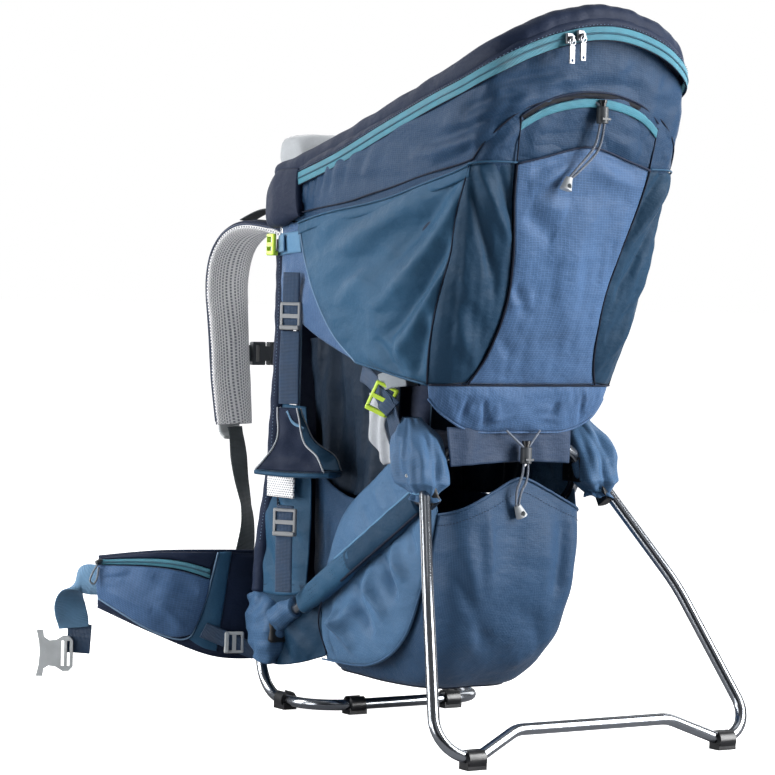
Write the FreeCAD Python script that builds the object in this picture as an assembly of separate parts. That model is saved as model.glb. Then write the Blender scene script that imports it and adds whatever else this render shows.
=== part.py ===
import FreeCAD, Part
import math
import os

# A framed child carrier worn like a rucksack, standing on its fold-out kickstand.
# X runs across the carrier, Y from the outer pocket (-) to the wearer (+), Z up from the floor.
# Heights and depths below are measured from the kickstand's two feet; the whole
# part is moved back by DEPTH_ORIGIN so that its origin is the middle of its footprint.

V = FreeCAD.Vector
X = V(1, 0, 0)
Y = V(0, 1, 0)
Z = V(0, 0, 1)

# Driving dimensions, millimetres
DEPTH_ORIGIN = 325.4
TUBE_R = 6.0
CLIP_R = 10.0
BASE_X = 112.0
BASE_FRONT_Y = 361.0
BASE_BACK_Y = 478.0
UPRIGHT_Z = 140.0
STAND_LEAN = math.radians(32.5)
PIVOT = V(0, 170, 277)
PIN_R = 4.0
KNUCKLE_BORE_R = 4.05
STAND_HALF = 206.0
FOOT_X = 155.0
WALL_T = 3.0
SEAM_GAP = 0.2
RIM_R = 13.0
WEBBING_T = 2.0
CORD_D = 2.6

os.makedirs("parts", exist_ok=True)


def save(name, shapes):
    if not isinstance(shapes, list):
        shapes = [shapes]
    solids = []
    for shape in shapes:
        solids += shape.Solids
    body = Part.makeCompound(solids) if len(solids) > 1 else solids[0]
    body = body.copy()
    body.translate(V(0, -DEPTH_ORIGIN, 0))
    body.exportStep("parts/" + name + ".step")


def mirrored(shape):
    return shape.mirror(V(0, 0, 0), X)


def both(shape):
    return [shape, mirrored(shape)]


def mirror_path(points):
    """A half path that ends left of centre, continued to the right of it."""
    return points + [V(-p.x, p.y, p.z) for p in reversed(points)]


def rounded_wire(points, bends):
    """Straight runs joined by tangent arcs, one bend radius per inner corner."""
    if not isinstance(bends, list):
        bends = [bends] * (len(points) - 2)
    edges = []
    start = points[0]
    for i in range(1, len(points) - 1):
        corner = points[i]
        into = (corner - points[i - 1]).normalize()
        out = (points[i + 1] - corner).normalize()
        turn = into.getAngle(out)
        reach = bends[i - 1] * math.tan(turn / 2)
        first = corner - into * reach
        last = corner + out * reach
        side = (out - into).normalize()
        centre = corner + side * (bends[i - 1] / math.cos(turn / 2))
        middle = centre - side * bends[i - 1]
        edges.append(Part.makeLine(start, first))
        edges.append(Part.Arc(first, middle, last).toShape())
        start = last
    edges.append(Part.makeLine(start, points[-1]))
    return Part.Wire(edges)


def smooth_wire(points):
    curve = Part.BSplineCurve()
    curve.interpolate(points)
    return Part.Wire([curve.toShape()])


def start_of(wire):
    edge = wire.OrderedEdges[0]
    return edge.valueAt(edge.FirstParameter), edge.tangentAt(edge.FirstParameter)


def pipe(wire, radius):
    origin, heading = start_of(wire)
    ring = Part.Wire([Part.makeCircle(radius, origin, heading)])
    return wire.makePipeShell([ring], True, False)


def tube(points, bends, radius=TUBE_R):
    return pipe(rounded_wire(points, bends), radius)


def ribbon(wire, width, thick, across):
    """A flat strap swept along a wire with its width kept along one direction."""
    origin, heading = start_of(wire)
    normal = heading.cross(across).normalize()
    wide = normal.cross(heading).normalize()
    corners = []
    for a, b in ((-1, -1), (1, -1), (1, 1), (-1, 1)):
        corners.append(origin + wide * (a * width / 2) + normal * (b * thick / 2))
    corners.append(corners[0])
    maker = Part.BRepOffsetAPI.MakePipeShell(wire)
    maker.setBiNormalMode(across)
    maker.add(Part.makePolygon(corners))
    maker.build()
    maker.makeSolid()
    return maker.shape()


def prism(outline, along):
    """A straight-sided block from a closed flat outline."""
    return Part.Face(Part.makePolygon(outline + [outline[0]])).extrude(along)


def box(x0, x1, y0, y1, z0, z1):
    return Part.makeBox(x1 - x0, y1 - y0, z1 - z0, V(x0, y0, z0))


def soft_box(x0, x1, y0, y1, z0, z1, radius):
    block = box(x0, x1, y0, y1, z0, z1)
    return block.makeFillet(radius, block.Edges)


def rod(centre, axis, radius, length):
    """A round bar centred on a point."""
    return Part.makeCylinder(radius, length, centre - axis * (length / 2), axis)


def sheet_section(points, thick, up):
    """One thin closed outline: a smooth outer curve and the same curve set inwards."""
    inner = []
    for i, p in enumerate(points):
        before = points[max(i - 1, 0)]
        after = points[min(i + 1, len(points) - 1)]
        inner.append(p + (after - before).cross(up).normalize() * thick)
    outer_curve = Part.BSplineCurve()
    outer_curve.interpolate(points)
    inner.reverse()
    inner_curve = Part.BSplineCurve()
    inner_curve.interpolate(inner)
    edges = [outer_curve.toShape(), Part.makeLine(points[-1], inner[0])]
    edges += [inner_curve.toShape(), Part.makeLine(inner[-1], points[0])]
    return Part.Wire(edges)


def sheet(rows, thick, up=Z):
    """A thin shaped panel through several level rows of points."""
    return Part.makeLoft([sheet_section(row, thick, up) for row in rows], True, False)


def level(z, half):
    """A level row across the carrier from a half list of (x, y), centre first."""
    left = [V(-x, y, z) for x, y in reversed(half[1:])]
    return left + [V(x, y, z) for x, y in half]


def rounded_loop(x, y0, y1, z, radius):
    """A level rounded rectangle, |x| wide and from y0 to y1."""
    k = radius
    corners = [(-x, y0), (x, y0), (x, y1), (-x, y1)]
    steps = [((0, k), (k, 0)), ((-k, 0), (0, k)), ((0, -k), (-k, 0)), ((k, 0), (0, -k))]
    edges = []
    last = None
    first = None
    for (cx, cy), ((ax, ay), (bx, by)) in zip(corners, steps):
        a = V(cx + ax, cy + ay, z)
        b = V(cx + bx, cy + by, z)
        r = 1 - math.sqrt(0.5)
        m = V(cx + (ax + bx) * r, cy + (ay + by) * r, z)
        if last is not None:
            edges.append(Part.makeLine(last, a))
        else:
            first = a
        edges.append(Part.Arc(a, m, b).toShape())
        last = b
    edges.append(Part.makeLine(last, first))
    return Part.Wire(edges)


def stand_point(x, s):
    """A point in the leaning plane of the kickstand, s up the slope from the floor line."""
    return V(x, s * math.sin(STAND_LEAN), TUBE_R + 4 + s * math.cos(STAND_LEAN))


# ---------------------------------------------------------------- tube frame

def frame_tubes():
    base = mirror_path([V(-BASE_X, BASE_BACK_Y, UPRIGHT_Z), V(-BASE_X, BASE_BACK_Y, 10),
                        V(-BASE_X, BASE_FRONT_Y, 10)])
    hoop = mirror_path([V(-BASE_X, BASE_BACK_Y, UPRIGHT_Z), V(-BASE_X, BASE_BACK_Y, 176),
                        V(-112, 457, 262), V(-108, 453, 440), V(-98, 470, 575)])
    seat = mirror_path([V(-110, 452, 86), V(-92, 188, 250), V(-92, 165, 300)])
    head = mirror_path([V(-60, 165, 306.4), V(-76, 170, 350), V(-96, 150, 450), V(-96, 112, 560),
                        V(-80, 82, 668), V(-30, 64, 700)])
    return {
        "base_loop_tube": tube(base, [45, 45, 45, 45]),
        "back_frame_hoop": tube(hoop, [90, 200, 200, 45, 45, 200, 200, 90]),
        "seat_frame_tube": tube(seat, [40, 35, 35, 40]),
        "head_hoop": tube(head, [60, 90, 150, 90, 30, 30, 90, 150, 90, 60], 4.0),
    }


def kickstand_wire():
    bow = V(-156, 84, 160)
    half = [stand_point(-112, 300), bow, stand_point(-STAND_HALF, -26), stand_point(-94, 27)]
    return rounded_wire(mirror_path(half), [260, 34, 34, 34, 34, 260])


def lower_brackets(tubes):
    block = soft_box(-123, -101, 440, 491, 70, 104, 4)
    block = block.cut(tubes["base_loop_tube"]).cut(tubes["seat_frame_tube"])
    return both(block)


def hinge_brackets(tubes):
    """Clevis each side of the leg: two cheeks, a bridge over the knuckle, a clamp on the tube."""
    y, z = PIVOT.y, PIVOT.z
    clamp = box(-104.5, -84, y - 8, y + 22, z - 14, z + 12)
    outer = box(-124, -119.5, y - 12, y + 12, z - 12, z + 18)
    bridge = box(-124, -98, y - 12, y + 12, z + 12, z + 18)
    block = clamp.fuse(outer).fuse(bridge).removeSplitter()
    block = block.cut(tubes["seat_frame_tube"])
    block = block.cut(rod(V(-112.2, y, z), X, PIN_R, 28))
    return both(block)


def hinge_pins():
    pin = rod(V(-112.2, PIVOT.y, PIVOT.z), X, PIN_R, 28)
    head = rod(V(-127, PIVOT.y, PIVOT.z), X, 6.5, 2)
    seat_head = rod(V(-125.5, PIVOT.y, PIVOT.z), X, PIN_R, 3)
    return both(pin.fuse(head).fuse(seat_head).removeSplitter())


def kickstand_knuckles(stand):
    """Moulded end of each leg: an eye round the pin and a socket round the tube."""
    eye = rod(V(-112, PIVOT.y, PIVOT.z), X, 10, 14)
    top = stand_point(-112, 322)
    foot = stand_point(-104.5, 276)
    socket = Part.makeCylinder(8.5, (top - foot).Length, foot, (top - foot).normalize())
    slab = box(-119, -105, 100, 240, 200, 330)
    body = eye.fuse(socket.common(slab))
    body = body.cut(stand).cut(rod(V(-112, PIVOT.y, PIVOT.z), X, KNUCKLE_BORE_R, 40))
    return both(max(body.Solids, key=lambda s: s.Volume))


def clip(centre, axis, tubes, length):
    """Snap-on foot: a ring open at the top, flat where it meets the floor."""
    body = rod(centre, axis, CLIP_R, length)
    sole = box(-11, 11, -8, 8, -10, -3)
    if abs(axis.y) > 0.5:
        sole = box(-8, 8, -11, 11, -10, -3)
    sole.translate(centre)
    body = body.fuse(sole)
    slot = box(-12, 12, -4, 4, 0, 12)
    if abs(axis.y) > 0.5:
        slot = box(-4, 4, -12, 12, 0, 12)
    slot.translate(centre)
    body = body.cut(slot)
    for shape in tubes:
        body = body.cut(shape)
    return max(body.Solids, key=lambda s: s.Volume)


# ---------------------------------------------------------------- cabin

def rim_path():
    half = [V(-112, 452, 583), V(-112, 400, 593), V(-112, 322, 614), V(-113, 230, 641),
            V(-114, 140, 668), V(-114, 92, 683), V(-106, 54, 700), V(-76, 37, 718), V(-38, 31, 731)]
    return half + [V(0, 29, 736)] + [V(-p.x, p.y, p.z) for p in reversed(half)]


def rim_lengths():
    """The padded rim is sewn from five lengths that meet edge to edge."""
    points = rim_path()
    curve = Part.BSplineCurve()
    curve.interpolate(points)
    marks = [curve.parameter(points[i]) for i in (0, 3, 7, 11, 15, len(points) - 1)]
    lengths = []
    for a, b in zip(marks, marks[1:]):
        first = a if a == marks[0] else curve.parameterAtDistance(SEAM_GAP, a)
        last = b if b == marks[-1] else curve.parameterAtDistance(-SEAM_GAP, b)
        run = curve.copy()
        run.segment(first, last)
        lengths.append(pipe(Part.Wire([run.toShape()]), RIM_R))
    return lengths


def zip_path():
    half = [V(-124, 450, 566), V(-126, 400, 577), V(-127, 322, 596), V(-128, 230, 624),
            V(-129, 140, 650), V(-129, 90, 663), V(-120, 46, 680), V(-84, 25, 701), V(-42, 18, 715)]
    return half + [V(0, 15, 720)] + [V(-p.x, p.y, p.z) for p in reversed(half)]


def outer_wall():
    rows = [
        level(366, [(0, 138), (40, 138), (70, 140), (98, 146), (118, 172)]),
        level(430, [(0, 110), (40, 110), (72, 112), (104, 120), (121, 144)]),
        level(500, [(0, 84), (40, 85), (74, 87), (107, 95), (122, 118)]),
        level(589, [(0, 58), (40, 58), (82, 60), (114, 68), (125, 98)]),
        level(650, [(0, 41), (40, 42), (84, 45), (117, 53), (127, 86)]),
        level(725, [(0, 26), (40, 28), (80, 34), (110, 48), (124, 80)]),
    ]
    rows = [list(reversed(row)) for row in rows]
    arch = [(-131, 652), (-124, 662), (-114, 676), (-96, 692), (-70, 705), (-36, 716), (0, 720)]
    arch = arch + [(-x, z) for x, z in reversed(arch[:-1])]
    outline = [V(-131, 0, 366)] + [V(x, 0, z) for x, z in arch] + [V(131, 0, 366)]
    return sheet(rows, WALL_T).common(prism(outline, V(0, 200, 0)))


def side_panel():
    rows = []
    for z, seam_x, seam_y, bulge in ((340, 118, 176, 124), (430, 121, 146, 127),
                                     (520, 122.5, 113, 127), (600, 125, 97, 127),
                                     (680, 127, 82, 127)):
        rows.append([V(-seam_x, seam_y, z), V(-bulge, seam_y + 80, z),
                     V(-bulge, 320, z), V(-118, 400, z), V(-115, 447, z)])
    rows = [list(reversed(row)) for row in rows]
    lower = [(100, 366), (185, 366), (270, 381), (361, 399), (450, 430)]
    upper = [(450, 566), (400, 577), (322, 596), (230, 624), (140, 650), (84, 660), (60, 664)]
    outline = [V(-140, y, z) for y, z in lower + upper]
    return sheet(rows, WALL_T).common(prism(outline, V(60, 0, 0)))


def outer_pocket():
    rows = [
        level(372, [(0, 128), (40, 129), (70, 132), (98, 140)]),
        level(430, [(0, 98), (40, 99), (72, 101), (104, 109)]),
        level(500, [(0, 73), (40, 74), (74, 76), (107, 84)]),
        level(560, [(0, 57), (40, 58), (78, 61), (109, 71)]),
        level(612, [(0, 46), (40, 47), (80, 51), (110, 61)]),
    ]
    rows = [list(reversed(row)) for row in rows]
    outline = [V(-99, 0, 376), V(-114, 0, 594), V(-81, 0, 588), V(0, 0, 608), V(81, 0, 588),
               V(114, 0, 594), V(99, 0, 376)]
    return sheet(rows, 8).common(prism(outline, V(0, 200, 0)))


def skirt():
    rows = [
        level(320, [(0, 154), (40, 154), (72, 157), (98, 168)]),
        level(364, [(0, 140), (40, 141), (70, 145), (97, 155)]),
    ]
    return sheet([list(reversed(row)) for row in rows], WALL_T)


def lower_flap():
    rows = [
        level(284, [(0, 156), (30, 156), (62, 156.4)]),
        level(319.6, [(0, 155.4), (30, 155.4), (62, 156)]),
    ]
    return sheet([list(reversed(row)) for row in rows], 2.5)


def bag_levels(grow):
    rows = []
    for z, front, rear, half, corner in ((40, 240, 420, 56, 30), (62, 205, 434, 68, 34),
                                         (110, 168, 440, 80, 34), (160, 150, 440, 85, 28),
                                         (205, 146, 438, 86, 24), (275, 150, 434, 86, 20)):
        inset = 0 if grow else WALL_T
        height = z if grow or z > 40 else z + WALL_T
        rows.append(rounded_loop(half - inset, front + inset, rear - inset, height, corner))
    return rows


def storage_bag():
    """Open-topped lower compartment with a front wall that rises to a point."""
    outer = Part.makeLoft(bag_levels(True), True, False)
    inner = Part.makeLoft(bag_levels(False), True, False)
    shell = outer.cut(inner)
    keep = [V(-100, 0, 0), V(-100, 0, 232), V(-86, 0, 234), V(-40, 0, 256), V(0, 0, 266),
            V(40, 0, 256), V(86, 0, 234), V(100, 0, 232), V(100, 0, 0)]
    rear = box(-100, 100, 190, 500, 232, 300)
    return shell.common(prism(keep, V(0, 500, 0))).cut(rear)


def side_gusset():
    outline = [(196, 306), (214, 306), (352, 212), (393, 122), (384, 58), (330, 60), (256, 66),
               (200, 120), (172, 190), (172, 250)]
    return prism([V(-90, y, z) for y, z in outline], V(2.4, 0, 0))


def seat_parts(tubes):
    pad = soft_box(-70, 70, 190, 428, 284, 304, 7)
    curtain = []
    for z, out in ((268, 76), (330, 79), (404, 84)):
        curtain.append([V(-out, 428, z), V(-out - 4, 370, z), V(-out - 4, 310, z), V(-out, 262, z)])
    lining = sheet(curtain, 2.4)
    return pad, both(lining)


# ---------------------------------------------------------------- back system

def back_plate():
    wire = rounded_wire([V(0, 474, 128), V(0, 455, 262), V(0, 452, 440), V(0, 451, 556)], 200)
    return ribbon(wire, 176, 5, X)


def yoke():
    wire = rounded_wire([V(0, 461, 400), V(0, 461, 480), V(0, 461, 536)][::2], [])
    plate = ribbon(wire, 164, 4, X)
    pad_a = soft_box(-80, -12, 463, 480, 404, 488, 7)
    bar = box(-78, 78, 463, 472, 492, 530)
    return plate, both(pad_a), bar


def shoulder_strap():
    points = [V(-50, 478, 508), V(-64, 520, 524), V(-78, 566, 526), V(-85, 600, 506),
              V(-87, 615, 468), V(-87, 610, 410), V(-87, 602, 355), V(-86, 594, 302)]
    return ribbon(smooth_wire(points), 52, 11, X)


def load_lifter():
    points = [V(-66, 474.5, 534), V(-70, 500, 545), V(-76, 545, 546), V(-82, 584, 534)]
    return ribbon(smooth_wire(points), 20, WEBBING_T, X)


def strap_webbing():
    points = [V(-86, 592.5, 296), V(-85, 588, 282), V(-84, 580, 245), V(-84, 562, 195),
              V(-91, 557, 150), V(-100, 550, 112)]
    return ribbon(smooth_wire(points), 20, WEBBING_T, X)


def side_release(length, width, thick):
    """Closed side-release buckle lying along X, centred, wings towards +X and -X."""
    socket = soft_box(-length / 2, 3, -thick / 2, thick / 2, -width / 2, width / 2, 2)
    tongue = soft_box(3.4, length / 2, -thick / 2, thick / 2, -width / 2, width / 2, 2)
    slot_a = box(-length / 2 + 4, -length / 2 + 9, -thick, thick, -width / 2 + 4, width / 2 - 4)
    slot_b = box(length / 2 - 9, length / 2 - 4, -thick, thick, -width / 2 + 4, width / 2 - 4)
    window = box(-6, 0, -thick, thick, width / 2 - 5, width)
    window_b = box(-6, 0, -thick, thick, -width, -width / 2 + 5)
    socket = socket.cut(slot_a).cut(window).cut(window_b)
    bridge = box(2, 5, -thick / 2 + 2, thick / 2 - 2, -width / 2 + 7, width / 2 - 7)
    return socket.fuse(tongue.cut(slot_b)).fuse(bridge)


def ladder_lock(width, height, thick):
    """Three-bar strap adjuster in the XZ plane: two slots and a raised lower lip."""
    frame = soft_box(-width / 2, width / 2, -thick / 2, thick / 2, -height / 2, height / 2,
                     thick * 0.42)
    slot = width / 2 - 3.4
    upper = box(-slot, slot, -thick, thick, 2.2, height / 2 - 3.4)
    lower = box(-slot, slot, -thick, thick, -height / 2 + 5.0, -2.2)
    lip = soft_box(-width / 2 + 1, width / 2 - 1, -thick / 2 - 2.6, -thick / 2 + 1.4,
                   -height / 2, -height / 2 + 5, 1.4)
    return frame.cut(upper).cut(lower).fuse(lip)


def placed(shape, where, turns):
    """Turned about X, then Y, then Z (degrees), then moved."""
    body = shape.copy()
    for axis, angle in zip((X, Y, Z), turns):
        body.rotate(V(0, 0, 0), axis, angle)
    body.translate(where)
    return body


# ---------------------------------------------------------------- hip belt

def fin_loft(stations):
    wires = []
    for x, y, nx, ny, z0, z1, thick in stations:
        normal = V(nx, ny, 0).normalize() * (thick / 2)
        r = thick * 0.45
        centre = V(x, y, 0)
        ring = [centre - normal + Z * (z0 + r), centre - normal + Z * (z1 - r),
                centre - normal * 0.45 + Z * z1, centre + normal * 0.45 + Z * z1,
                centre + normal + Z * (z1 - r), centre + normal + Z * (z0 + r),
                centre + normal * 0.45 + Z * z0, centre - normal * 0.45 + Z * z0]
        wires.append(Part.makePolygon(ring + [ring[0]]))
    return Part.makeLoft(wires, True, False)


def hip_fin():
    return fin_loft([(-97, 510, 0.20, 1, 44, 166, 14), (-150, 520, 0.40, 1, 48, 167, 17),
                     (-205, 553, 0.9, 1, 72, 164, 14), (-250, 606, 1.2, 1, 98, 154, 8)])


def hip_pocket():
    return fin_loft([(-168, 515, 0.6, 1, 108, 148, 8), (-186, 520, 0.75, 1, 78, 150, 16),
                     (-212, 546, 0.95, 1, 74, 150, 16), (-239, 585, 1.2, 1, 100, 146, 6)])


def twisting_band(stations, width, thick):
    """A strap that turns over along its way: each station has a middle and a width direction."""
    wires = []
    for i, (middle, across) in enumerate(stations):
        before = stations[max(i - 1, 0)][0]
        after = stations[min(i + 1, len(stations) - 1)][0]
        heading = (after - before).normalize()
        normal = heading.cross(across).normalize()
        wide = normal.cross(heading).normalize()
        corners = []
        for a, b in ((-1, -1), (1, -1), (1, 1), (-1, 1)):
            corners.append(middle + wide * (a * width / 2) + normal * (b * thick / 2))
        wires.append(Part.makePolygon(corners + [corners[0]]))
    return Part.makeLoft(wires, True, True)


def hip_webbing():
    """Out of the wing's tip with its width upright, then over and down, turning to face forwards."""
    return twisting_band([
        (V(-247.5, 607, 126), V(0, 0, 1)), (V(-257, 619, 127), V(0.15, 0.10, 1)),
        (V(-267, 631, 125), V(0.45, 0.25, 0.80)), (V(-273, 639, 115), V(0.75, 0.15, 0.50)),
        (V(-274, 642, 100), V(0.85, -0.25, 0.28)), (V(-271, 643, 84), V(0.84, -0.45, 0.12)),
        (V(-266, 642, 68), V(0.84, -0.54, 0.04)), (V(-262, 640, 53), V(0.84, -0.545, 0)),
    ], 34, WEBBING_T)


def forked_buckle():
    """Male half of the belt buckle: strap bar, waisted body, two horns. Lies in the XZ plane."""
    half = [V(18, -2.6, 0), V(18, -2.6, 15), V(14, -2.6, 19.5), V(7, -2.6, 20), V(-1, -2.6, 15),
            V(-9, -2.6, 14), V(-15, -2.6, 18), V(-16, -2.6, 26), V(-23, -2.6, 26),
            V(-20, -2.6, 13), V(-19, -2.6, 0)]
    outline = half + [V(p.x, p.y, -p.z) for p in reversed(half[1:-1])]
    body = prism(outline, V(0, 5.2, 0))
    slot = box(11.4, 14.6, -5, 5, -14.5, 14.5)
    slot_b = box(4.6, 8.2, -5, 5, -14.5, 14.5)
    return body.cut(slot).cut(slot_b)


# ---------------------------------------------------------------- stirrup

def stirrup_loop():
    """Foot loop hanging from its webbing: two tapering cheeks and a flat sole."""
    strap = ribbon(rounded_wire([V(-130, 402, 412), V(-130, 402, 330)], []), 24, WEBBING_T,
                   V(0.55, -0.83, 0))
    out = V(0.83, 0.55, 0).normalize()
    along = V(0.55, -0.83, 0).normalize()
    peak = V(-130, 402, 330)
    base = V(-128, 382, 264)
    cheek = []
    for side in (-1, 1):
        lower = base + out * (side * 22)
        wires = []
        for centre, half in ((peak + out * (side * 3.2) + V(0, 0, -2), 11), (lower, 38)):
            a = centre - along * half
            b = centre + along * half
            t = out * 1.2
            wires.append(Part.makePolygon([a - t, b - t, b + t, a + t, a - t]))
        cheek.append(Part.makeLoft(wires, True, True))
    a = base - along * 44
    b = base + along * 44
    t = out * 24
    sole = prism([a - t, b - t, b + t, a + t], V(0, 0, -6))
    cap = prism([peak - along * 12 - out * 4.6, peak + along * 12 - out * 4.6,
                 peak + along * 12 + out * 4.6, peak - along * 12 + out * 4.6], V(0, 0, 2.4))
    cap.translate(V(0, 0, -2.2))
    body = cap
    for piece in cheek + [sole, strap]:
        body = body.fuse(piece)
    return body


# ---------------------------------------------------------------- small hardware

def cord(name, points):
    """A limp cord of straight runs and tangent arcs; the arc takes 45 % of the shorter run."""
    radii = []
    for i in range(1, len(points) - 1):
        into = points[i] - points[i - 1]
        out = points[i + 1] - points[i]
        turn = into.getAngle(out)
        reach = 0.45 * min(into.Length, out.Length)
        radii.append(reach / math.tan(turn / 2))
    wire = rounded_wire(points, radii)
    listed = " ".join("%.1f" % r for r in radii)
    print(name, "length %.1f" % wire.Length, "arc radii", listed)
    return pipe(wire, CORD_D / 2)


def lock_body(centre, heading):
    """Barrel cord lock: rounded block with a cord hole through it, bored for its button."""
    shell = Part.makeCylinder(6, 17, V(0, 0, -8.5), Z)
    shell = shell.makeFillet(1.2, shell.Edges)
    bore = Part.makeCylinder(3.6, 12, V(0, 0, -1.0), Z)
    shell = shell.cut(bore)
    grip = box(-5, 5, -7.4, -5, -5, -3)
    shell = shell.fuse(grip)
    return placed(shell, centre, heading)


def lock_button(centre, heading):
    stem = Part.makeCylinder(3.5, 7.4, V(0, 0, 4.4), Z)
    head = Part.makeCylinder(4.6, 3, V(0, 0, 12.2), Z)
    return placed(stem.fuse(head).fuse(Part.makeCylinder(3.5, 2, V(0, 0, 10.5), Z)), centre, heading)


def zip_pull(where, lean):
    """A ringed pull tab hanging from its slider."""
    ring = Part.makeTorus(3.4, 1.0, V(0, 0, -3.4), Y)
    tab = soft_box(-3.4, 3.4, -0.9, 0.9, -25, -7.0, 0.8)
    hole = rod(V(0, 0, -21.5), Y, 1.7, 6)
    neck = box(-1.1, 1.1, -0.9, 0.9, -8, -6.4)
    return placed(ring.fuse(neck).fuse(tab.cut(hole)), where, (0, lean, 0))


def slider(where):
    body = soft_box(-4.2, 4.2, -2.4, 2.4, -6.5, 6.5, 1.6)
    return placed(body, where, (0, 90, 0))


def build():
    tubes = frame_tubes()
    stand = pipe(kickstand_wire(), TUBE_R)
    for name, shape in tubes.items():
        save(name, shape)
    save("lower_brackets", lower_brackets(tubes))
    save("hinge_brackets", hinge_brackets(tubes))
    save("hinge_pins", hinge_pins())
    save("kickstand_tube", stand)
    save("kickstand_knuckles", kickstand_knuckles(stand))
    feet = [clip(stand_point(x, 0), X, [stand], 20) for x in (-FOOT_X, FOOT_X)]
    save("kickstand_feet", feet)
    bar_feet = [clip(V(x, BASE_FRONT_Y, 10), X, [tubes["base_loop_tube"]], 18) for x in (-62, 62)]
    side_feet = [clip(V(x, 424, 10), Y, [tubes["base_loop_tube"]], 16) for x in (-BASE_X, BASE_X)]
    save("base_feet", bar_feet + side_feet)

    rim = pipe(smooth_wire(rim_path()), RIM_R)
    save("top_rim", rim_lengths())
    tape = ribbon(smooth_wire(zip_path()), 11, 1.6, Z)
    under_tape = ribbon(smooth_wire(zip_path()), 11.5, 9, Z)
    sides = side_panel().cut(under_tape)
    walls = {"outer_wall": outer_wall(), "side_panel": max(sides.Solids, key=lambda s: s.Volume)}
    save("main_zip", tape)
    save("outer_wall", walls["outer_wall"])
    save("side_panels", both(walls["side_panel"]))
    pocket = outer_pocket().cut(walls["outer_wall"])
    save("outer_pocket", max(pocket.Solids, key=lambda s: s.Volume))
    save("skirt_panels", [skirt().cut(walls["outer_wall"]), lower_flap().cut(skirt())])
    save("storage_bag", storage_bag())
    gusset = side_gusset().cut(tubes["seat_frame_tube"]).cut(hinge_brackets(tubes)[0])
    gusset = max(gusset.Solids, key=lambda s: s.Volume)
    save("side_gussets", both(gusset))
    pad, lining = seat_parts(tubes)
    save("seat_pad", pad)
    save("seat_lining", lining)

    save("back_plate", back_plate())
    lumbar = soft_box(-78, 78, 478, 500, 112, 222, 9)
    save("back_pads", both(soft_box(-80, -14, 462, 480, 240, 345, 7)) + [lumbar])
    plate, pads, bar = yoke()
    save("yoke_plate", plate)
    save("yoke_pads", pads + [bar.cut(shoulder_strap()).cut(mirrored(shoulder_strap()))])
    save("shoulder_straps", both(shoulder_strap()))
    save("strap_webbing", both(load_lifter()) + both(strap_webbing()))

    sternum = [box(-13.6, 76, 615.5, 617.5, 372.5, 391.5), box(-76, -46.4, 615.5, 617.5, 372.5, 391.5)]
    keeper = soft_box(-100, -76, 613.4, 619.4, 370, 394, 1.5)
    save("sternum_strap", sternum + both(keeper))
    buckle = side_release(46, 27, 9)
    buckle.translate(V(-30, 616.5, 382))
    save("sternum_buckle", buckle.cut(sternum[0]).cut(sternum[1]))

    fin = hip_fin()
    bag = hip_pocket().cut(fin)
    bag = max(bag.Solids, key=lambda q: q.Volume)
    webbing = hip_webbing()
    webbing = webbing.cut(fin)
    webbing = max(webbing.Solids, key=lambda q: q.Volume)
    belt_buckle = placed(forked_buckle(), V(-279, 646, 42), (0, 0, -33))
    belt_buckle = belt_buckle.cut(webbing)
    belt_buckle = max(belt_buckle.Solids, key=lambda q: q.Volume)
    stab_lock = placed(ladder_lock(24, 22, 4.6), V(-136, 497, 65), (0, 90, -22))
    stab_strap = ribbon(smooth_wire([V(-166, 509, 78), V(-150, 502.5, 71), V(-121, 491, 58)]), 16,
                        WEBBING_T, Z).cut(stab_lock).cut(fin)
    stab_strap = max(stab_strap.Solids, key=lambda q: q.Volume)
    for side, turn in (("left", lambda q: q), ("right", mirrored)):
        save("hip_fin_" + side, turn(fin))
        save("hip_pocket_" + side, turn(bag))
        save("hip_webbing_" + side, turn(webbing))
        save("hip_buckle_" + side, turn(belt_buckle))
        save("stabiliser_" + side, [turn(stab_lock.cut(fin)), turn(stab_strap)])

    foot_loop = stirrup_loop()
    save("stirrup_left", foot_loop)
    save("stirrup_right", mirrored(foot_loop))
    out_turn = (0, 0, -56.5)
    upper_lock = placed(ladder_lock(25, 30, 4.6), V(-130, 402, 429), out_turn)
    lower_lock = placed(ladder_lock(28, 30, 4.6), V(-130, 404, 206), out_turn)
    across = V(0.55, -0.83, 0)
    anchor = ribbon(rounded_wire([V(-130, 402, 474), V(-130, 402, 414.5)], []), 20, WEBBING_T, across)
    lower = ribbon(rounded_wire([V(-130, 404, 226), V(-130, 404, 130)], []), 20, WEBBING_T, across)
    save("webbing_locks", both(upper_lock) + both(lower_lock))
    lower = max(lower.cut(lower_lock).Solids, key=lambda q: q.Volume)
    riser = placed(ladder_lock(26, 24, 4.6), V(-124, 457, 506), (0, 0, 75))
    entry = placed(ladder_lock(26, 32, 5), V(-127, 222, 348), (0, 24, -48))
    entry_strap = ribbon(smooth_wire([V(-124, 262, 366), V(-126.5, 232, 357), V(-127.5, 214, 338),
                                      V(-124, 206, 318)]), 19, WEBBING_T, V(0, -0.55, 0.83))
    save("bright_adjusters", both(riser) + both(entry))
    entry_strap = max(entry_strap.cut(entry).Solids, key=lambda q: q.Volume)
    save("side_webbing", both(anchor.cut(upper_lock).Solids[0]) + both(lower) + both(entry_strap))

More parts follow.
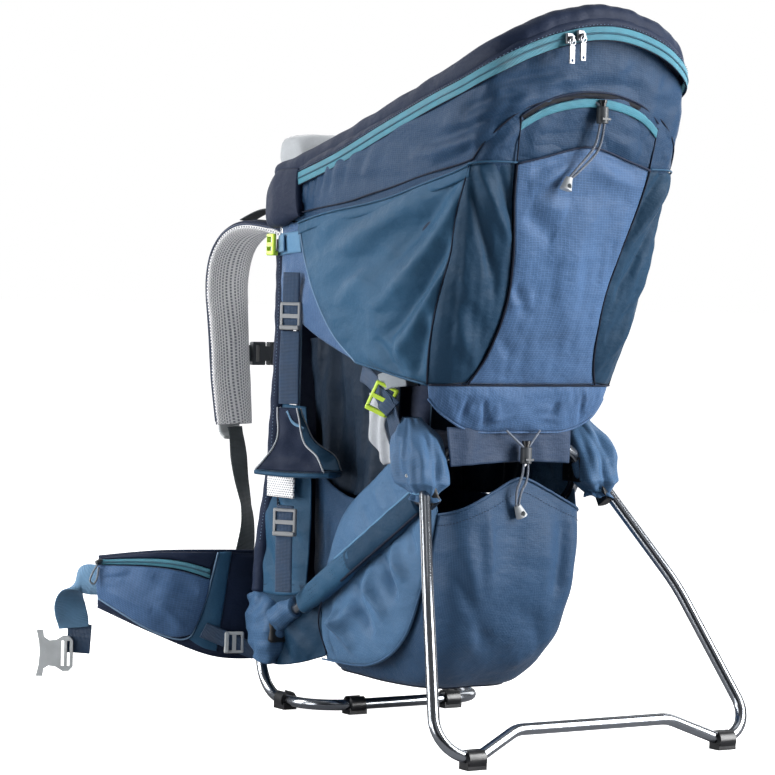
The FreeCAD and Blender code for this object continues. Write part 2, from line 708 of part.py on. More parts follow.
    upper_at = V(4, 32.6, 640)
    lower_at = V(3, 146, 293)
    locks = [lock_body(upper_at, (0, 0, 0)), lock_body(lower_at, (0, 0, 0))]
    save("cord_lock_bodies", locks)
    save("cord_button_upper", lock_button(upper_at, (0, 0, 0)))
    save("cord_button_lower", lock_button(lower_at, (0, 0, 0)))
    upper_end = V(-26, 45, 577)
    lower_end = V(-10, 141, 242)
    save("upper_tail_a", cord("upper_tail_a", [upper_at + V(-2.6, 0, -6.5), V(0.6, 34, 612),
                                               V(-12, 40, 594), upper_end + V(-2.0, 0, -2.5)]))
    save("upper_tail_b", cord("upper_tail_b", [upper_at + V(2.6, 0, -6.5), V(6.4, 34.5, 610),
                                               V(-7, 39, 592), upper_end + V(1.2, 0, -2.5)]))
    save("lower_tail_a", cord("lower_tail_a", [lower_at + V(-2.6, 0, -6.5), V(-3, 142, 272),
                                               V(-15, 138, 256), lower_end + V(-1.2, 0, -2.0)]))
    save("lower_tail_b", cord("lower_tail_b", [lower_at + V(2.6, 0, -6.5), V(4, 142, 268),
                                               V(-10, 137, 255), lower_end + V(1.6, 0, -2.0)]))
    ends = []
    for tip, lean in ((upper_end, 18), (lower_end, -28)):
        wedge = Part.makeCone(3.6, 6.2, 13, V(0, 0, 0), -Z)
        eye = rod(V(0, 0, -9), Y, 2.6, 20)
        ends.append(placed(wedge.cut(eye), tip, (0, lean, 0)))
    save("cord_ends", ends)

    for name, x in (("a", -52), ("b", -40)):
        height = 720 - 0.0031 * x * x
        depth = 15 + 0.0017 * x * x - 3.6
        save("zip_pull_" + name, zip_pull(V(x, depth - 5.4, height), 0))
    bodies = []
    for x in (-52, -40):
        height = 720 - 0.0031 * x * x
        depth = 15 + 0.0017 * x * x - 3.6
        base = soft_box(-4.2, 4.2, -2.2, 2.2, -5.5, 5.5, 1.4)
        bail = box(-1.0, 1.0, -7.8, -1.6, -3.2, 2.4).cut(rod(V(0, -5.4, 0), X, 1.3, 6))
        body = placed(base.fuse(bail), V(x, depth, height), (0, 0, 0)).cut(tape)
        bodies.append(max(body.Solids, key=lambda s: s.Volume))
    save("zip_sliders", bodies)

    chin = soft_box(-94, 94, 450, 508, 588, 630, 15).cut(rim)
    save("chin_pad", max(chin.Solids, key=lambda q: q.Volume))
    sleeve_wire = rounded_wire([V(-BASE_X, BASE_BACK_Y, 142), V(-BASE_X, BASE_BACK_Y, 176),
                                V(-112, 457, 262), V(-108, 453, 440), V(-103, 462, 520)],
                               [90, 200, 200])
    sleeve = pipe(sleeve_wire, 9.0).cut(tubes["back_frame_hoop"])
    sleeve = max(sleeve.Solids, key=lambda q: q.Volume)
    pouch = soft_box(-127, -97, 436, 496, 48, 118, 8)
    inside = box(-123.5, -100.5, 439.5, 491.5, 66, 104.5)
    pouch = pouch.cut(inside).cut(tubes["base_loop_tube"]).cut(tubes["seat_frame_tube"])
    pouch = max(pouch.Solids, key=lambda q: q.Volume)
    save("frame_covers", both(sleeve) + both(pouch))
    gaiter = soft_box(-128, -84, 150, 198, 296, 326, 9)
    gaiter = gaiter.cut(tubes["seat_frame_tube"]).cut(skirt()).cut(gusset)
    save("leg_gaiters", both(max(gaiter.Solids, key=lambda q: q.Volume)))
    harness = []
    for x in (-34, 34):
        path = [V(x, 446, 540), V(x * 1.1, 440, 470), V(x * 1.3, 436, 352)]
        harness.append(ribbon(smooth_wire(path), 34, 5, X))
    save("child_harness", harness)


build()
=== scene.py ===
import math

import bpy
import numpy as np
from mathutils import Matrix, Vector


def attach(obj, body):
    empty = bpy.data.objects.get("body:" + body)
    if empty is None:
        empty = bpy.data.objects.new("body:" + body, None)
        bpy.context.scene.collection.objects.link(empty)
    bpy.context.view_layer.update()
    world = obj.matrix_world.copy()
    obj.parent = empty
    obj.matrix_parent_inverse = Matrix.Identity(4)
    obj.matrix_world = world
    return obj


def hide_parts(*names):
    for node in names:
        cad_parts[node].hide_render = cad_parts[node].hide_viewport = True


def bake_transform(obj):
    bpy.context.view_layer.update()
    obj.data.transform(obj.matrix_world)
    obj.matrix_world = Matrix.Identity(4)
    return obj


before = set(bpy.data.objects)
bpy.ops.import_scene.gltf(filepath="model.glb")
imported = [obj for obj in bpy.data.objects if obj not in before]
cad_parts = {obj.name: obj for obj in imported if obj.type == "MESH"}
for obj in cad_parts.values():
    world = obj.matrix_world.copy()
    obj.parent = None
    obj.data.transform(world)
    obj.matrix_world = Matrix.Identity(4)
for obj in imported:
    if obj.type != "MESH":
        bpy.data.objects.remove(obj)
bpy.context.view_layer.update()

# Points below are in millimetres with y measured from the kickstand's foot line, as the part's
# source has them; ORIGIN_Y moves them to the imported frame.
ORIGIN_Y = 325.4
PACK = "pack"
SIDES = (("left", 1.0), ("right", -1.0))


def metres(points):
    p = np.array(points, float).reshape(-1, 3)
    p[:, 1] -= ORIGIN_Y
    return p / 1000.0


def flip(points, side):
    """Mirrors points across the middle for the right-hand piece (side -1)."""
    p = np.array(points, float)
    p[..., 0] *= side
    return p


# ---------------------------------------------------------------- curves and surfaces

def catmull(p, t):
    p = np.asarray(p, float)
    last = len(p) - 1
    t = np.clip(np.asarray(t, float), 0, last)
    i = np.minimum(np.floor(t).astype(int), last - 1)
    f = (t - i)[..., None]
    a, b, c, d = p[np.maximum(i - 1, 0)], p[i], p[i + 1], p[np.minimum(i + 2, last)]
    return 0.5 * (2 * b + (c - a) * f + (2 * a - 5 * b + 4 * c - d) * f * f
                  + (3 * b - 3 * c + d - a) * f ** 3)


def run_along(p):
    """Distance along a line of points, from 0."""
    return np.concatenate([[0], np.cumsum(np.linalg.norm(np.diff(p, axis=0), axis=1))])


def line(points, n):
    """n points evenly spaced along a smooth curve through the given ones."""
    dense = catmull(points, np.linspace(0, len(points) - 1, 40 * len(points)))
    run = run_along(dense)
    at = np.linspace(0, run[-1], n)
    return np.stack([np.interp(at, run, dense[:, k]) for k in range(dense.shape[1])], -1)


def ripple(p, wave, seed, parts=7):
    """Smooth seeded noise, about -1 to 1, over points p."""
    rng = np.random.RandomState(seed)
    total = np.zeros(p.shape[:-1])
    for _ in range(parts):
        way = rng.normal(size=p.shape[-1])
        way *= (0.6 + rng.rand()) * 2 * math.pi / wave / np.linalg.norm(way)
        total += np.sin(p @ way + rng.rand() * 6.283)
    return total / parts ** 0.5 * 0.7


def coons(bottom, top, left, right, nu, nv):
    """A grid (nu, nv, k) filling four edge curves; left and right run bottom to top."""
    b, t = line(bottom, nu)[:, None], line(top, nu)[:, None]
    lo, hi = line(left, nv)[None], line(right, nv)[None]
    u = np.linspace(0, 1, nu)[:, None, None]
    v = np.linspace(0, 1, nv)[None, :, None]
    flat = ((1 - u) * (1 - v) * b[0, 0] + u * (1 - v) * b[-1, 0]
            + (1 - u) * v * t[0, 0] + u * v * t[-1, 0])
    return (1 - v) * b + v * t + (1 - u) * lo + u * hi - flat


def unit(v):
    """Vectors v brought to length one."""
    return v / np.maximum(np.linalg.norm(v, axis=-1, keepdims=True), 1e-9)


def normals(p):
    return unit(np.cross(np.gradient(p, axis=0), np.gradient(p, axis=1)))


def steps(nu, nv):
    """Two arrays that run from 0 to 1 along a grid's two directions."""
    return np.linspace(0, 1, nu)[:, None], np.linspace(0, 1, nv)[None]


def between(low, top):
    """A panel's four edges from its lower and upper ones, with straight sides."""
    return low, top, [low[0], top[0]], [low[-1], top[-1]]


def arc_uv(p):
    """Texture coordinates in metres along both directions of a grid."""
    du = np.linalg.norm(np.diff(p, axis=0), axis=-1)
    dv = np.linalg.norm(np.diff(p, axis=1), axis=-1)
    u = np.concatenate([np.zeros((1, p.shape[1])), np.cumsum(du, 0)], 0)
    v = np.concatenate([np.zeros((p.shape[0], 1)), np.cumsum(dv, 1)], 1)
    return np.stack([u, v], -1) / 1000.0


def crease(q, a, b, width, depth):
    """A soft fold: a ridge (or groove, depth < 0) along the segment a-b of the plane q."""
    a, b = np.array(a, float), np.array(b, float)
    way = b - a
    t = ((q - a) @ way) / (way @ way)
    off = np.linalg.norm(q - a - np.clip(t, 0, 1)[..., None] * way, axis=-1)
    fade = np.clip(np.sin(np.clip(t, 0, 1) * math.pi), 0, 1) ** 0.5
    return 1.5 * depth * np.exp(-(off / width) ** 2) * (0.15 + 0.85 * fade)


def creases(q, folds):
    """Several folds added up; each is its two ends, width and depth."""
    total = np.zeros(q.shape[:-1])
    for a, b, width, depth in folds:
        total += crease(q, a, b, width, depth)
    return total


# ---------------------------------------------------------------- meshes

def make(name, verts, faces, material, body=PACK, nodes=(), uv=None):
    mesh = bpy.data.meshes.new(name)
    mesh.from_pydata(metres(verts).tolist(), [], faces)
    if uv is not None:
        layer = mesh.uv_layers.new(name="UVMap")
        loops = np.empty(len(mesh.loops), np.int32)
        mesh.loops.foreach_get("vertex_index", loops)
        layer.data.foreach_set("uv", np.asarray(uv, np.float32)[loops].ravel())
    mesh.polygons.foreach_set("use_smooth", [True] * len(mesh.polygons))
    mesh.materials.append(material)
    mesh.validate()
    obj = bpy.data.objects.new(name, mesh)
    bpy.context.collection.objects.link(obj)
    if body is not None:
        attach(obj, body)
    if nodes:
        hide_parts(*nodes)
    return obj


def skin(name, p, thick, material, body=PACK, nodes=(), outward=None, back=None):
    """A closed cloth panel: grid p is its outer face, set back by thick on the inner one."""
    nu, nv = p.shape[:2]
    n = normals(p)
    if outward is not None and (n.mean((0, 1)) @ np.array(outward, float)) < 0:
        p = p[::-1]
        n = normals(p)
    inner = p - n * thick
    count = nu * nv
    ids = np.arange(count).reshape(nu, nv)
    quads = np.stack([ids[:-1, :-1], ids[1:, :-1], ids[1:, 1:], ids[:-1, 1:]], -1).reshape(-1, 4)
    faces = quads.tolist() + (quads[:, ::-1] + count).tolist()
    ring = (list(ids[:, 0]) + list(ids[-1, 1:]) + list(ids[-2::-1, -1]) + list(ids[0, -2:0:-1]))
    for a, b in zip(ring, ring[1:] + ring[:1]):
        faces.append([int(b), int(a), int(a) + count, int(b) + count])
    uv = arc_uv(p).reshape(-1, 2)
    obj = make(name, np.concatenate([p.reshape(-1, 3), inner.reshape(-1, 3)]), faces, material,
               body, nodes, np.concatenate([uv, uv]))
    if back is not None:
        obj.data.materials.append(back)
        index = np.zeros(len(obj.data.polygons), np.int32)
        index[len(quads):2 * len(quads)] = 1
        obj.data.polygons.foreach_set("material_index", index)
    return obj


def sweep(name, points, across, a, b, material, n=60, around=20, power=2.0, body=PACK, nodes=(),
          wobble=0.0, wave=30.0, seed=1):
    """A rounded section swept along a curve: a half-width along across, b half-thickness."""
    c = line(points, n)
    t = unit(np.gradient(c, axis=0))
    way = np.array(across, float)
    way = line(way, n) if way.ndim == 2 else np.repeat(way[None], n, 0)
    w = unit(way - (way * t).sum(1, keepdims=True) * t)
    m = np.cross(t, w)
    k = np.linspace(0, 1, n)
    half_a = np.interp(k, np.linspace(0, 1, len(np.atleast_1d(a))), np.atleast_1d(a))
    half_b = np.interp(k, np.linspace(0, 1, len(np.atleast_1d(b))), np.atleast_1d(b))
    ang = np.linspace(0, 2 * math.pi, around, endpoint=False)
    e = 2.0 / power
    ca = np.sign(np.cos(ang)) * np.abs(np.cos(ang)) ** e
    sa = np.sign(np.sin(ang)) * np.abs(np.sin(ang)) ** e
    p = (c[:, None] + w[:, None] * (half_a[:, None] * ca)[..., None]
         + m[:, None] * (half_b[:, None] * sa)[..., None])
    if wobble:
        p = p + unit(p - c[:, None]) * (wobble * ripple(p, wave, seed))[..., None]
    count = n * around
    ids = np.arange(count).reshape(n, around)
    nxt = np.roll(ids, -1, 1)
    faces = np.stack([ids[:-1], nxt[:-1], nxt[1:], ids[1:]], -1).reshape(-1, 4).tolist()
    run = run_along(c) / 1000
    v = half_a[:, None] * (np.abs(np.linspace(-2, 2, around))[None]) / 1000
    uv = np.stack([np.repeat(run[:, None], around, 1), v], -1).reshape(-1, 2)
    verts = p.reshape(-1, 3)
    faces.append([int(i) for i in ids[0][::-1]])
    faces.append([int(i) for i in ids[-1]])
    return make(name, verts, faces, material, body, nodes, uv)


def bead(name, points, radius, material, body=PACK, n=None, nodes=()):
    """Piping, a seam line or a thin loop: a fine round line along a curve."""
    pts = np.asarray(points, float)
    size = np.linalg.norm(np.diff(pts, axis=0), axis=1).sum()
    return sweep(name, pts, np.array([0.31, 0.42, 0.85]), radius, radius, material,
                 n or max(8, int(size / 4)), 8, body=body, nodes=nodes)


def stitches(name, lines, material, body=PACK, pitch=3.4, size=2.2, fat=0.42):
    """Rows of thread stitches along curves that lie on a surface."""
    verts, faces = [], []
    for points in lines:
        pts = np.asarray(points, float)
        total = np.linalg.norm(np.diff(line(pts, 80), axis=0), axis=1).sum()
        c = line(pts, max(3, int(total / pitch)))
        t = unit(np.gradient(c, axis=0))
        side = unit(np.cross(t, [0.3, 0.2, 0.93]))
        up = np.cross(side, t)
        for i in range(len(c)):
            k = len(verts)
            verts += [c[i] - t[i] * size / 2, c[i] + t[i] * size / 2, c[i] + side[i] * fat,
                      c[i] + up[i] * fat, c[i] - side[i] * fat, c[i] - up[i] * fat]
            for a, b in ((2, 3), (3, 4), (4, 5), (5, 2)):
                faces += [[k, k + b, k + a], [k + 1, k + a, k + b]]
    return make(name, verts, faces, material, body)


# ---------------------------------------------------------------- materials

def rgb(r, g, b):
    """Linear colour from ordinary 0-255 values."""
    return tuple(((c / 255 + 0.055) / 1.055) ** 2.4 if c > 10 else c / 3295 for c in (r, g, b)) + (1,)


class Nodes:
    """A short way of writing a material's nodes."""

    def __init__(self, name, slot):
        self.mat = bpy.data.materials.new(name)
        self.mat.use_nodes = True
        self.mat["slot"] = slot
        self.tree = self.mat.node_tree
        self.shader = self.tree.nodes["Principled BSDF"]

    def add(self, kind, props=(), **inputs):
        node = self.tree.nodes.new(kind)
        for key, value in props:
            setattr(node, key, value)
        for key, value in inputs.items():
            self.put(node, key.replace("_", " "), value)
        return node

    def put(self, node, key, value):
        socket = node.inputs[int(key[1:])] if key[0] == "i" and key[1:].isdigit() else node.inputs[key]
        if isinstance(value, bpy.types.NodeSocket):
            self.tree.links.new(value, socket)
        else:
            socket.default_value = value

    def mix(self, factor, a, b):
        node = self.add("ShaderNodeMix", (("data_type", "RGBA"),))
        for socket, value in ((0, factor), (6, a), (7, b)):
            if isinstance(value, bpy.types.NodeSocket):
                self.tree.links.new(value, node.inputs[socket])
            else:
                node.inputs[socket].default_value = value
        return node.outputs[2]

    def math(self, op, a, b=0.0):
        return self.add("ShaderNodeMath", (("operation", op),), i0=a, i1=b).outputs[0]

    def noise(self, where, scale, detail=3.0, out=0):
        return self.add("ShaderNodeTexNoise", Vector=where, Scale=scale, Detail=detail).outputs[out]

    def spread(self, value, low, high, to_low=0.0, to_high=1.0):
        node = self.add("ShaderNodeMapRange", i0=value, i1=low, i2=high, i3=to_low, i4=to_high)
        return node.outputs[0]

    def bump(self, height, strength, distance, below=None):
        node = self.add("ShaderNodeBump", Height=height, Strength=strength, Distance=distance)
        if below is not None:
            self.put(node, "Normal", below)
        return node.outputs[0]

    def finish(self, base, rough, normal, **same_all_over):
        """Colour, roughness and bump into the shader, and the sockets with one value all over."""
        for key, value in (("Base Color", base), ("Roughness", rough), ("Normal", normal)):
            self.put(self.shader, key, value)
        for key, value in same_all_over.items():
            self.shader.inputs[key.replace("_", " ")].default_value = value
        return self.mat

    def where(self, kind="Object"):
        return self.add("ShaderNodeTexCoord").outputs[kind]

    def stretched(self, where, scale):
        return self.add("ShaderNodeMapping", Vector=where, Scale=scale).outputs[0]


def shade(c, k):
    """Colour c made darker or lighter by the factor k."""
    return tuple(min(1.0, v * k) for v in c[:3]) + (1,)


def cloth(name, slot, colour, rough=0.62, grid=0.0, weave=0.9, sheen=0.06, soft=1.0, flat=False):
    """Woven nylon. grid is the ripstop spacing in mm, weave the thread pitch in mm."""
    k = Nodes(name, slot)
    here = k.where()
    cloth_uv = here if flat else k.where("UV")
    large = k.noise(here, 9.0, 4.0)
    fine = k.noise(here, 900.0, 2.0)
    base = k.mix(k.spread(large, 0.3, 0.7), shade(colour, 0.84), shade(colour, 1.14))
    base = k.mix(k.spread(fine, 0.25, 0.75, 0.0, 0.5), base, shade(colour, 0.72))
    warp = k.add("ShaderNodeTexWave", (("bands_direction", "X"),), Vector=cloth_uv,
                 Scale=314.0 / weave, Distortion=0.3).outputs[1]
    weft = k.add("ShaderNodeTexWave", (("bands_direction", "Y"),), Vector=cloth_uv,
                 Scale=314.0 / weave, Distortion=0.3).outputs[1]
    thread = k.math("MULTIPLY", warp, weft)
    height = k.bump(thread, 0.28, 0.00025)
    if grid:
        cell = k.add("ShaderNodeTexBrick", (("offset", 0.0),), Vector=cloth_uv, Scale=1000.0 / grid,
                     Mortar_Size=0.11, Mortar_Smooth=0.6, Brick_Width=1.6, Row_Height=1.0).outputs[1]
        base = k.mix(k.math("MULTIPLY", cell, 0.42), base, shade(colour, 1.7))
        height = k.bump(cell, 0.5, 0.00035, height)
    rumple = k.noise(k.stretched(here, (1.0, 1.0, 1.6)), 22.0, 5.0)
    height = k.bump(rumple, 0.38 * soft, 0.012, height)
    return k.finish(base, k.spread(fine, 0.2, 0.8, rough - 0.08, rough + 0.1), height,
                    Sheen_Weight=sheen, Sheen_Roughness=0.4, Specular_IOR_Level=0.22)


def webbing(name, slot, colour, pitch=1.5, rough=0.55):
    """Ribbed strap: cross ribs along its length."""
    k = Nodes(name, slot)
    here, uv = k.where(), k.where("UV")
    ribs = k.add("ShaderNodeTexWave", (("bands_direction", "X"),), Vector=uv,
                 Scale=314.0 / pitch, Distortion=0.4).outputs[1]
    rows = k.add("ShaderNodeTexWave", (("bands_direction", "Y"),), Vector=uv,
                 Scale=314.0 / 1.9, Distortion=0.2).outputs[1]
    worn = k.noise(here, 60.0, 5.0)
    base = k.mix(ribs, shade(colour, 0.62), shade(colour, 1.15))
    base = k.mix(k.spread(worn, 0.4, 0.75, 0.0, 0.5), base, shade(colour, 1.35))
    height = k.bump(rows, 0.35, 0.0003, k.bump(ribs, 0.75, 0.0005))
    return k.finish(base, k.spread(worn, 0.2, 0.8, rough - 0.08, rough + 0.12), height,
                    Sheen_Weight=0.05)


def spacer_mesh(name, slot, colour, dark, flat=False):
    """3-D spacer mesh: light threads round staggered dark holes."""
    k = Nodes(name, slot)
    here = k.where()
    uv = here if flat else k.where("UV")
    cell = k.add("ShaderNodeTexBrick", (("offset", 0.5),), Vector=uv, Scale=1000.0,
                 Mortar_Size=0.95, Mortar_Smooth=0.5, Brick_Width=3.6, Row_Height=2.5).outputs[1]
    fuzz = k.noise(here, 1400.0, 2.0)
    base = k.mix(cell, dark, colour)
    base = k.mix(k.spread(fuzz, 0.3, 0.8, 0.0, 0.35), base, shade(colour, 0.6))
    height = k.bump(fuzz, 0.25, 0.0003, k.bump(cell, 1.0, 0.0012))
    return k.finish(base, k.spread(fuzz, 0.2, 0.8, 0.7, 0.9), height, Sheen_Weight=0.3)


def plastic(name, slot, colour, rough=0.38, grain=0.3):
    """Moulded plastic: fine pebble grain, faint clouding and scuffs."""
    k = Nodes(name, slot)
    here = k.where()
    pebble = k.noise(here, 1500.0, 2.0)
    cloud = k.noise(here, 45.0, 4.0)
    base = k.mix(k.spread(cloud, 0.3, 0.75), shade(colour, 0.88), shade(colour, 1.12))
    scuff = k.noise(k.stretched(here, (1.0, 4.0, 1.0)), 220.0, 6.0)
    base = k.mix(k.spread(scuff, 0.62, 0.8, 0.0, 0.25), base, shade(colour, 1.6))
    return k.finish(base, k.spread(cloud, 0.25, 0.75, rough - 0.06, rough + 0.1),
                    k.bump(pebble, grain, 0.0002), Specular_IOR_Level=0.5)


def metal(name, slot, colour, rough=0.2, brushed=0.12):
    """Drawn and polished metal, faintly brushed along its length."""
    k = Nodes(name, slot)
    here = k.where()
    drawn = k.noise(k.stretched(here, (900.0, 900.0, 30.0)), 1.0, 4.0)
    cloud = k.noise(here, 18.0, 4.0)
    base = k.mix(k.spread(cloud, 0.3, 0.75), shade(colour, 0.9), shade(colour, 1.06))
    return k.finish(base, k.spread(drawn, 0.2, 0.8, rough - 0.05, rough + 0.07),
                    k.bump(drawn, brushed, 0.00008), Metallic=1.0)


SLATE = rgb(64, 94, 132)
PETROL = rgb(40, 80, 110)
NAVY = rgb(19, 33, 58)
slate = cloth("slate_ripstop", "slate_fabric", SLATE, 0.5, grid=2.6, sheen=0.1)
slate_plain = cloth("slate_nylon", "slate_fabric", rgb(62, 94, 128), 0.48, grid=1.8)
# The bag and the gusset take copies of the same slate nylon: the bag's copy is darkened as painted shade,
# the gusset's lightened as painted light.
slate_bag_painted_shade = cloth("bag_nylon_painted_shade", "slate_fabric", rgb(40, 68, 98), 0.5, grid=1.8)
slate_gusset_painted_light = cloth("gusset_nylon", "slate_fabric", rgb(72, 106, 140), 0.46, grid=1.6)
petrol_deep = cloth("deep_petrol_weave", "petrol_fabric", rgb(18, 54, 80), 0.6)
slate_dark = cloth("panel_ripstop", "slate_fabric", rgb(28, 58, 88), 0.5, grid=2.2)
curtain_cloth = cloth("curtain_taffeta", "navy_fabric", rgb(8, 32, 52), 0.6)
petrol = cloth("petrol_weave", "petrol_fabric", PETROL, 0.58)
petrol_light = cloth("blue_weave", "petrol_fabric", rgb(92, 134, 168), 0.55)
navy = cloth("navy_weave", "navy_fabric", NAVY, 0.62)
navy_bright = cloth("navy_ripstop", "navy_fabric", rgb(44, 62, 88), 0.5, grid=1.6)
navy_flat = cloth("navy_pad", "navy_fabric", NAVY, 0.66, flat=True)
# Near-black cloth, used only as painted shadow in the stretch pocket's mouth.
pocket_mouth_shadow_cloth = cloth("pocket_mouth_painted_shadow", "navy_fabric", rgb(15, 19, 28), 0.66)
grey_cloth = cloth("grey_jersey", "light_grey_fabric", rgb(170, 174, 178), 0.8, flat=True, sheen=0.5)
pale_cloth = cloth("pale_lining", "light_grey_fabric", rgb(176, 180, 186), 0.8)
mesh_grey = spacer_mesh("spacer_mesh", "grey_mesh", rgb(254, 254, 255), rgb(128, 132, 144))
mesh_flat = spacer_mesh("spacer_mesh_pad", "grey_mesh", rgb(236, 238, 242), rgb(130, 134, 142), True)
mesh_dark = spacer_mesh("dark_mesh", "navy_fabric", rgb(44, 60, 88), rgb(12, 16, 26))
teal = webbing("teal_zip_tape", "teal_tape", rgb(66, 132, 152), 1.3)
teal_dark = webbing("zip_coil", "teal_tape", rgb(38, 88, 108), 1.1)
charcoal = webbing("charcoal_strap", "charcoal_webbing", rgb(58, 66, 70))
navy_strap = webbing("navy_strap", "navy_webbing", rgb(32, 60, 90))
blue_strap = webbing("blue_strap", "navy_webbing", rgb(92, 134, 168))
pale_strap = webbing("pale_strap", "grey_cord", rgb(132, 140, 148))
thread_dark = cloth("dark_thread", "navy_webbing", rgb(17, 26, 44), 0.7, sheen=0.0)
thread_blue = cloth("blue_thread", "navy_webbing", rgb(112, 140, 168), 0.7, sheen=0.0)
cord_grey = webbing("grey_cord", "grey_cord", rgb(120, 128, 142), 1.2)
reflective = cloth("reflective_piping", "grey_cord", rgb(170, 176, 182), 0.4, sheen=0.0)
hard = {
    "frame_tube": metal("polished_tube", "frame_tube", rgb(146, 150, 156), 0.2),
    "silver_metal": metal("cast_zinc", "silver_metal", rgb(150, 152, 156), 0.32),
    "steel_pin": metal("steel", "steel_pin", rgb(190, 194, 198), 0.26),
    "black_plastic": plastic("black_moulding", "black_plastic", rgb(20, 21, 24), 0.3),
    "grey_plastic": plastic("grey_moulding", "grey_plastic", rgb(128, 131, 134), 0.4),
    "dark_grey_plastic": plastic("dark_moulding", "dark_grey_plastic", rgb(62, 66, 70), 0.4),
    "light_grey_plastic": plastic("light_moulding", "grey_plastic", rgb(176, 180, 182), 0.42),
    "green_plastic": plastic("lime_moulding", "green_plastic", rgb(190, 222, 62), 0.34),
}

# ---------------------------------------------------------------- the frame's own parts

for name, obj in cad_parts.items():
    for entry in obj.material_slots:
        slot_name = (entry.material.name if entry.material else "").split(".")[0]
        entry.material = hard.get(slot_name, hard["black_plastic"])

# ---------------------------------------------------------------- cabin wall

# Level rows round the cabin: height, then points from the back corner to the middle of the front.
WALL_ROWS = (
    (300, ((-115, 447), (-118, 400), (-122, 330), (-121, 270), (-112, 204), (-90, 172), (-70, 166),
           (-40, 164), (0, 164))),
    (366, ((-115, 447), (-118, 400), (-124, 320), (-124, 250), (-118, 172), (-98, 146), (-70, 140),
           (-40, 138), (0, 138))),
    (430, ((-115, 447), (-118, 400), (-126, 320), (-127, 226), (-121, 144), (-104, 120), (-72, 112),
           (-40, 110), (0, 110))),
    (500, ((-115, 447), (-119, 400), (-127, 320), (-127, 198), (-122, 118), (-107, 95), (-74, 87),
           (-40, 85), (0, 84))),
    (589, ((-115, 449), (-120, 400), (-127, 320), (-127, 180), (-125, 98), (-114, 68), (-82, 60),
           (-40, 58), (0, 58))),
    (650, ((-115, 450), (-120, 400), (-127, 320), (-127, 166), (-127, 86), (-117, 53), (-84, 45),
           (-40, 42), (0, 41))),
    (725, ((-115, 452), (-120, 400), (-127, 320), (-126, 160), (-124, 80), (-110, 48), (-80, 34),
           (-40, 28), (0, 26))),
)
HALF = np.array([row[1] for row in WALL_ROWS], float)
RING = np.concatenate([HALF, HALF[:, -2::-1] * [-1, 1]], 1)
HEIGHTS = np.array([row[0] for row in WALL_ROWS], float)
SPAN = 55.0      # millimetres that one step along a row stands for, where folds are laid out
AROUND = 16      # steps along a row, from one back corner round the front to the other
CABIN_MIDDLE = np.array([0.0, 300.0, 0.0])


def wall(q):
    """The wall at q = (step along the row, height in mm)."""
    s, z = q[..., 0], q[..., 1]
    k = np.interp(z, HEIGHTS, np.arange(len(HEIGHTS)))
    rows = np.stack([catmull(row, s) for row in RING])
    weights = np.clip(1 - np.abs(np.arange(len(HEIGHTS)).reshape((-1,) + (1,) * k.ndim) - k), 0, 1)
    xy = (rows * weights[..., None]).sum(0)
    return np.concatenate([xy, z[..., None]], -1)


def stand_off(q, amount):
    """Wall points pushed outwards by amount mm."""
    e = 0.02
    along = wall(q + [e, 0]) - wall(q - [e, 0])
    up = wall(q + [0, 4]) - wall(q - [0, 4])
    return wall(q) + unit(np.cross(along, up)) * np.asarray(amount, float)[..., None]


def other(q):
    """The same wall coordinates on the far side."""
    q = np.array(q, float)
    q[..., 0] = AROUND - q[..., 0]
    return q


def round_front(half_row):
    """A level line on the wall, from its near half ending at the middle of the front."""
    return half_row + [(AROUND - s, z) for s, z in reversed(half_row[:-1])]


def mirrored(half_path):
    """A path round the cabin, from its near half ending at the middle of the front."""
    return half_path + [(-x, y, z) for x, y, z in reversed(half_path[:-1])]


def fold_field(q, folds):
    flat = q * [SPAN, 1.0]
    total = np.zeros(q.shape[:-1])
    for (s0, z0), (s1, z1), width, depth in folds:
        total += crease(flat, (s0 * SPAN, z0), (s1 * SPAN, z1), width, depth)
    return total


def panel(name, edges, material, lift=0.0, puff=3.0, folds=(), rumple=1.0, size=(60, 40), seed=1,
          nodes=(), mirror=False, thick=1.4, wave=60.0):
    """A sewn wall panel between four edges, crowned between its seams, with its folds."""
    q = coons(*edges, *size)
    u, v = steps(*size)
    crown = (4 * u * (1 - u)) ** 0.4 * (4 * v * (1 - v)) ** 0.4
    off = lift + puff * crown + fold_field(q, folds) * crown ** 0.4
    flat = q * [SPAN, 1.0]
    off = off + rumple * crown ** 0.5 * ripple(flat, wave, seed)
    off = off + 0.35 * rumple * crown ** 0.5 * ripple(flat, wave / 3, seed + 9)
    if mirror:
        q = other(q)
    p = stand_off(q, off)
    return skin(name, p, thick, material, nodes=nodes,
                outward=(p.mean((0, 1)) - CABIN_MIDDLE) * [1, 1, 0])


def seam(name, q, lift, radius=0.9, material=None, mirror=False):
    pts = line(q, 60)
    pts = other(pts) if mirror else pts
    return bead(name, stand_off(pts, np.full(len(pts), lift)), radius, material or thread_dark)


ZIP_LOW = [(0.55, 562), (2.2, 592), (2.8, 622), (3.62, 646), (4.53, 660), (5.73, 684), (6.73, 705),
           (7.4, 713), (8, 716)]
ZIP_LOW = round_front(ZIP_LOW)
HEM_TOP = [(0.9, 540), (2.08, 549), (2.62, 561), (3.38, 578), (4.6, 592)]
POCKET_TOP = [(0.95, 529), (2.08, 542), (2.65, 551), (3.43, 569), (4.55, 587)]
REAR_SEAM = [(4.33, 367), (4.15, 411), (4.12, 452), (4.2, 498), (4.25, 542), (4.5, 587)]
FRONT_SEAM = [(5.68, 369), (6.15, 400), (6.4, 453), (6.25, 504), (6.05, 553), (6.0, 590)]
DIAGONAL = [(2.62, 384), (2.05, 410), (1.55, 450), (1.2, 490), (0.95, 529)]
LOW_EDGE = [(2.62, 384), (3.18, 378), (3.73, 371), (4.33, 366)]
ARCH = [(4.6, 592), (5.1, 615), (5.93, 641), (6.93, 656), (8, 660)]
ARCH = round_front(ARCH)

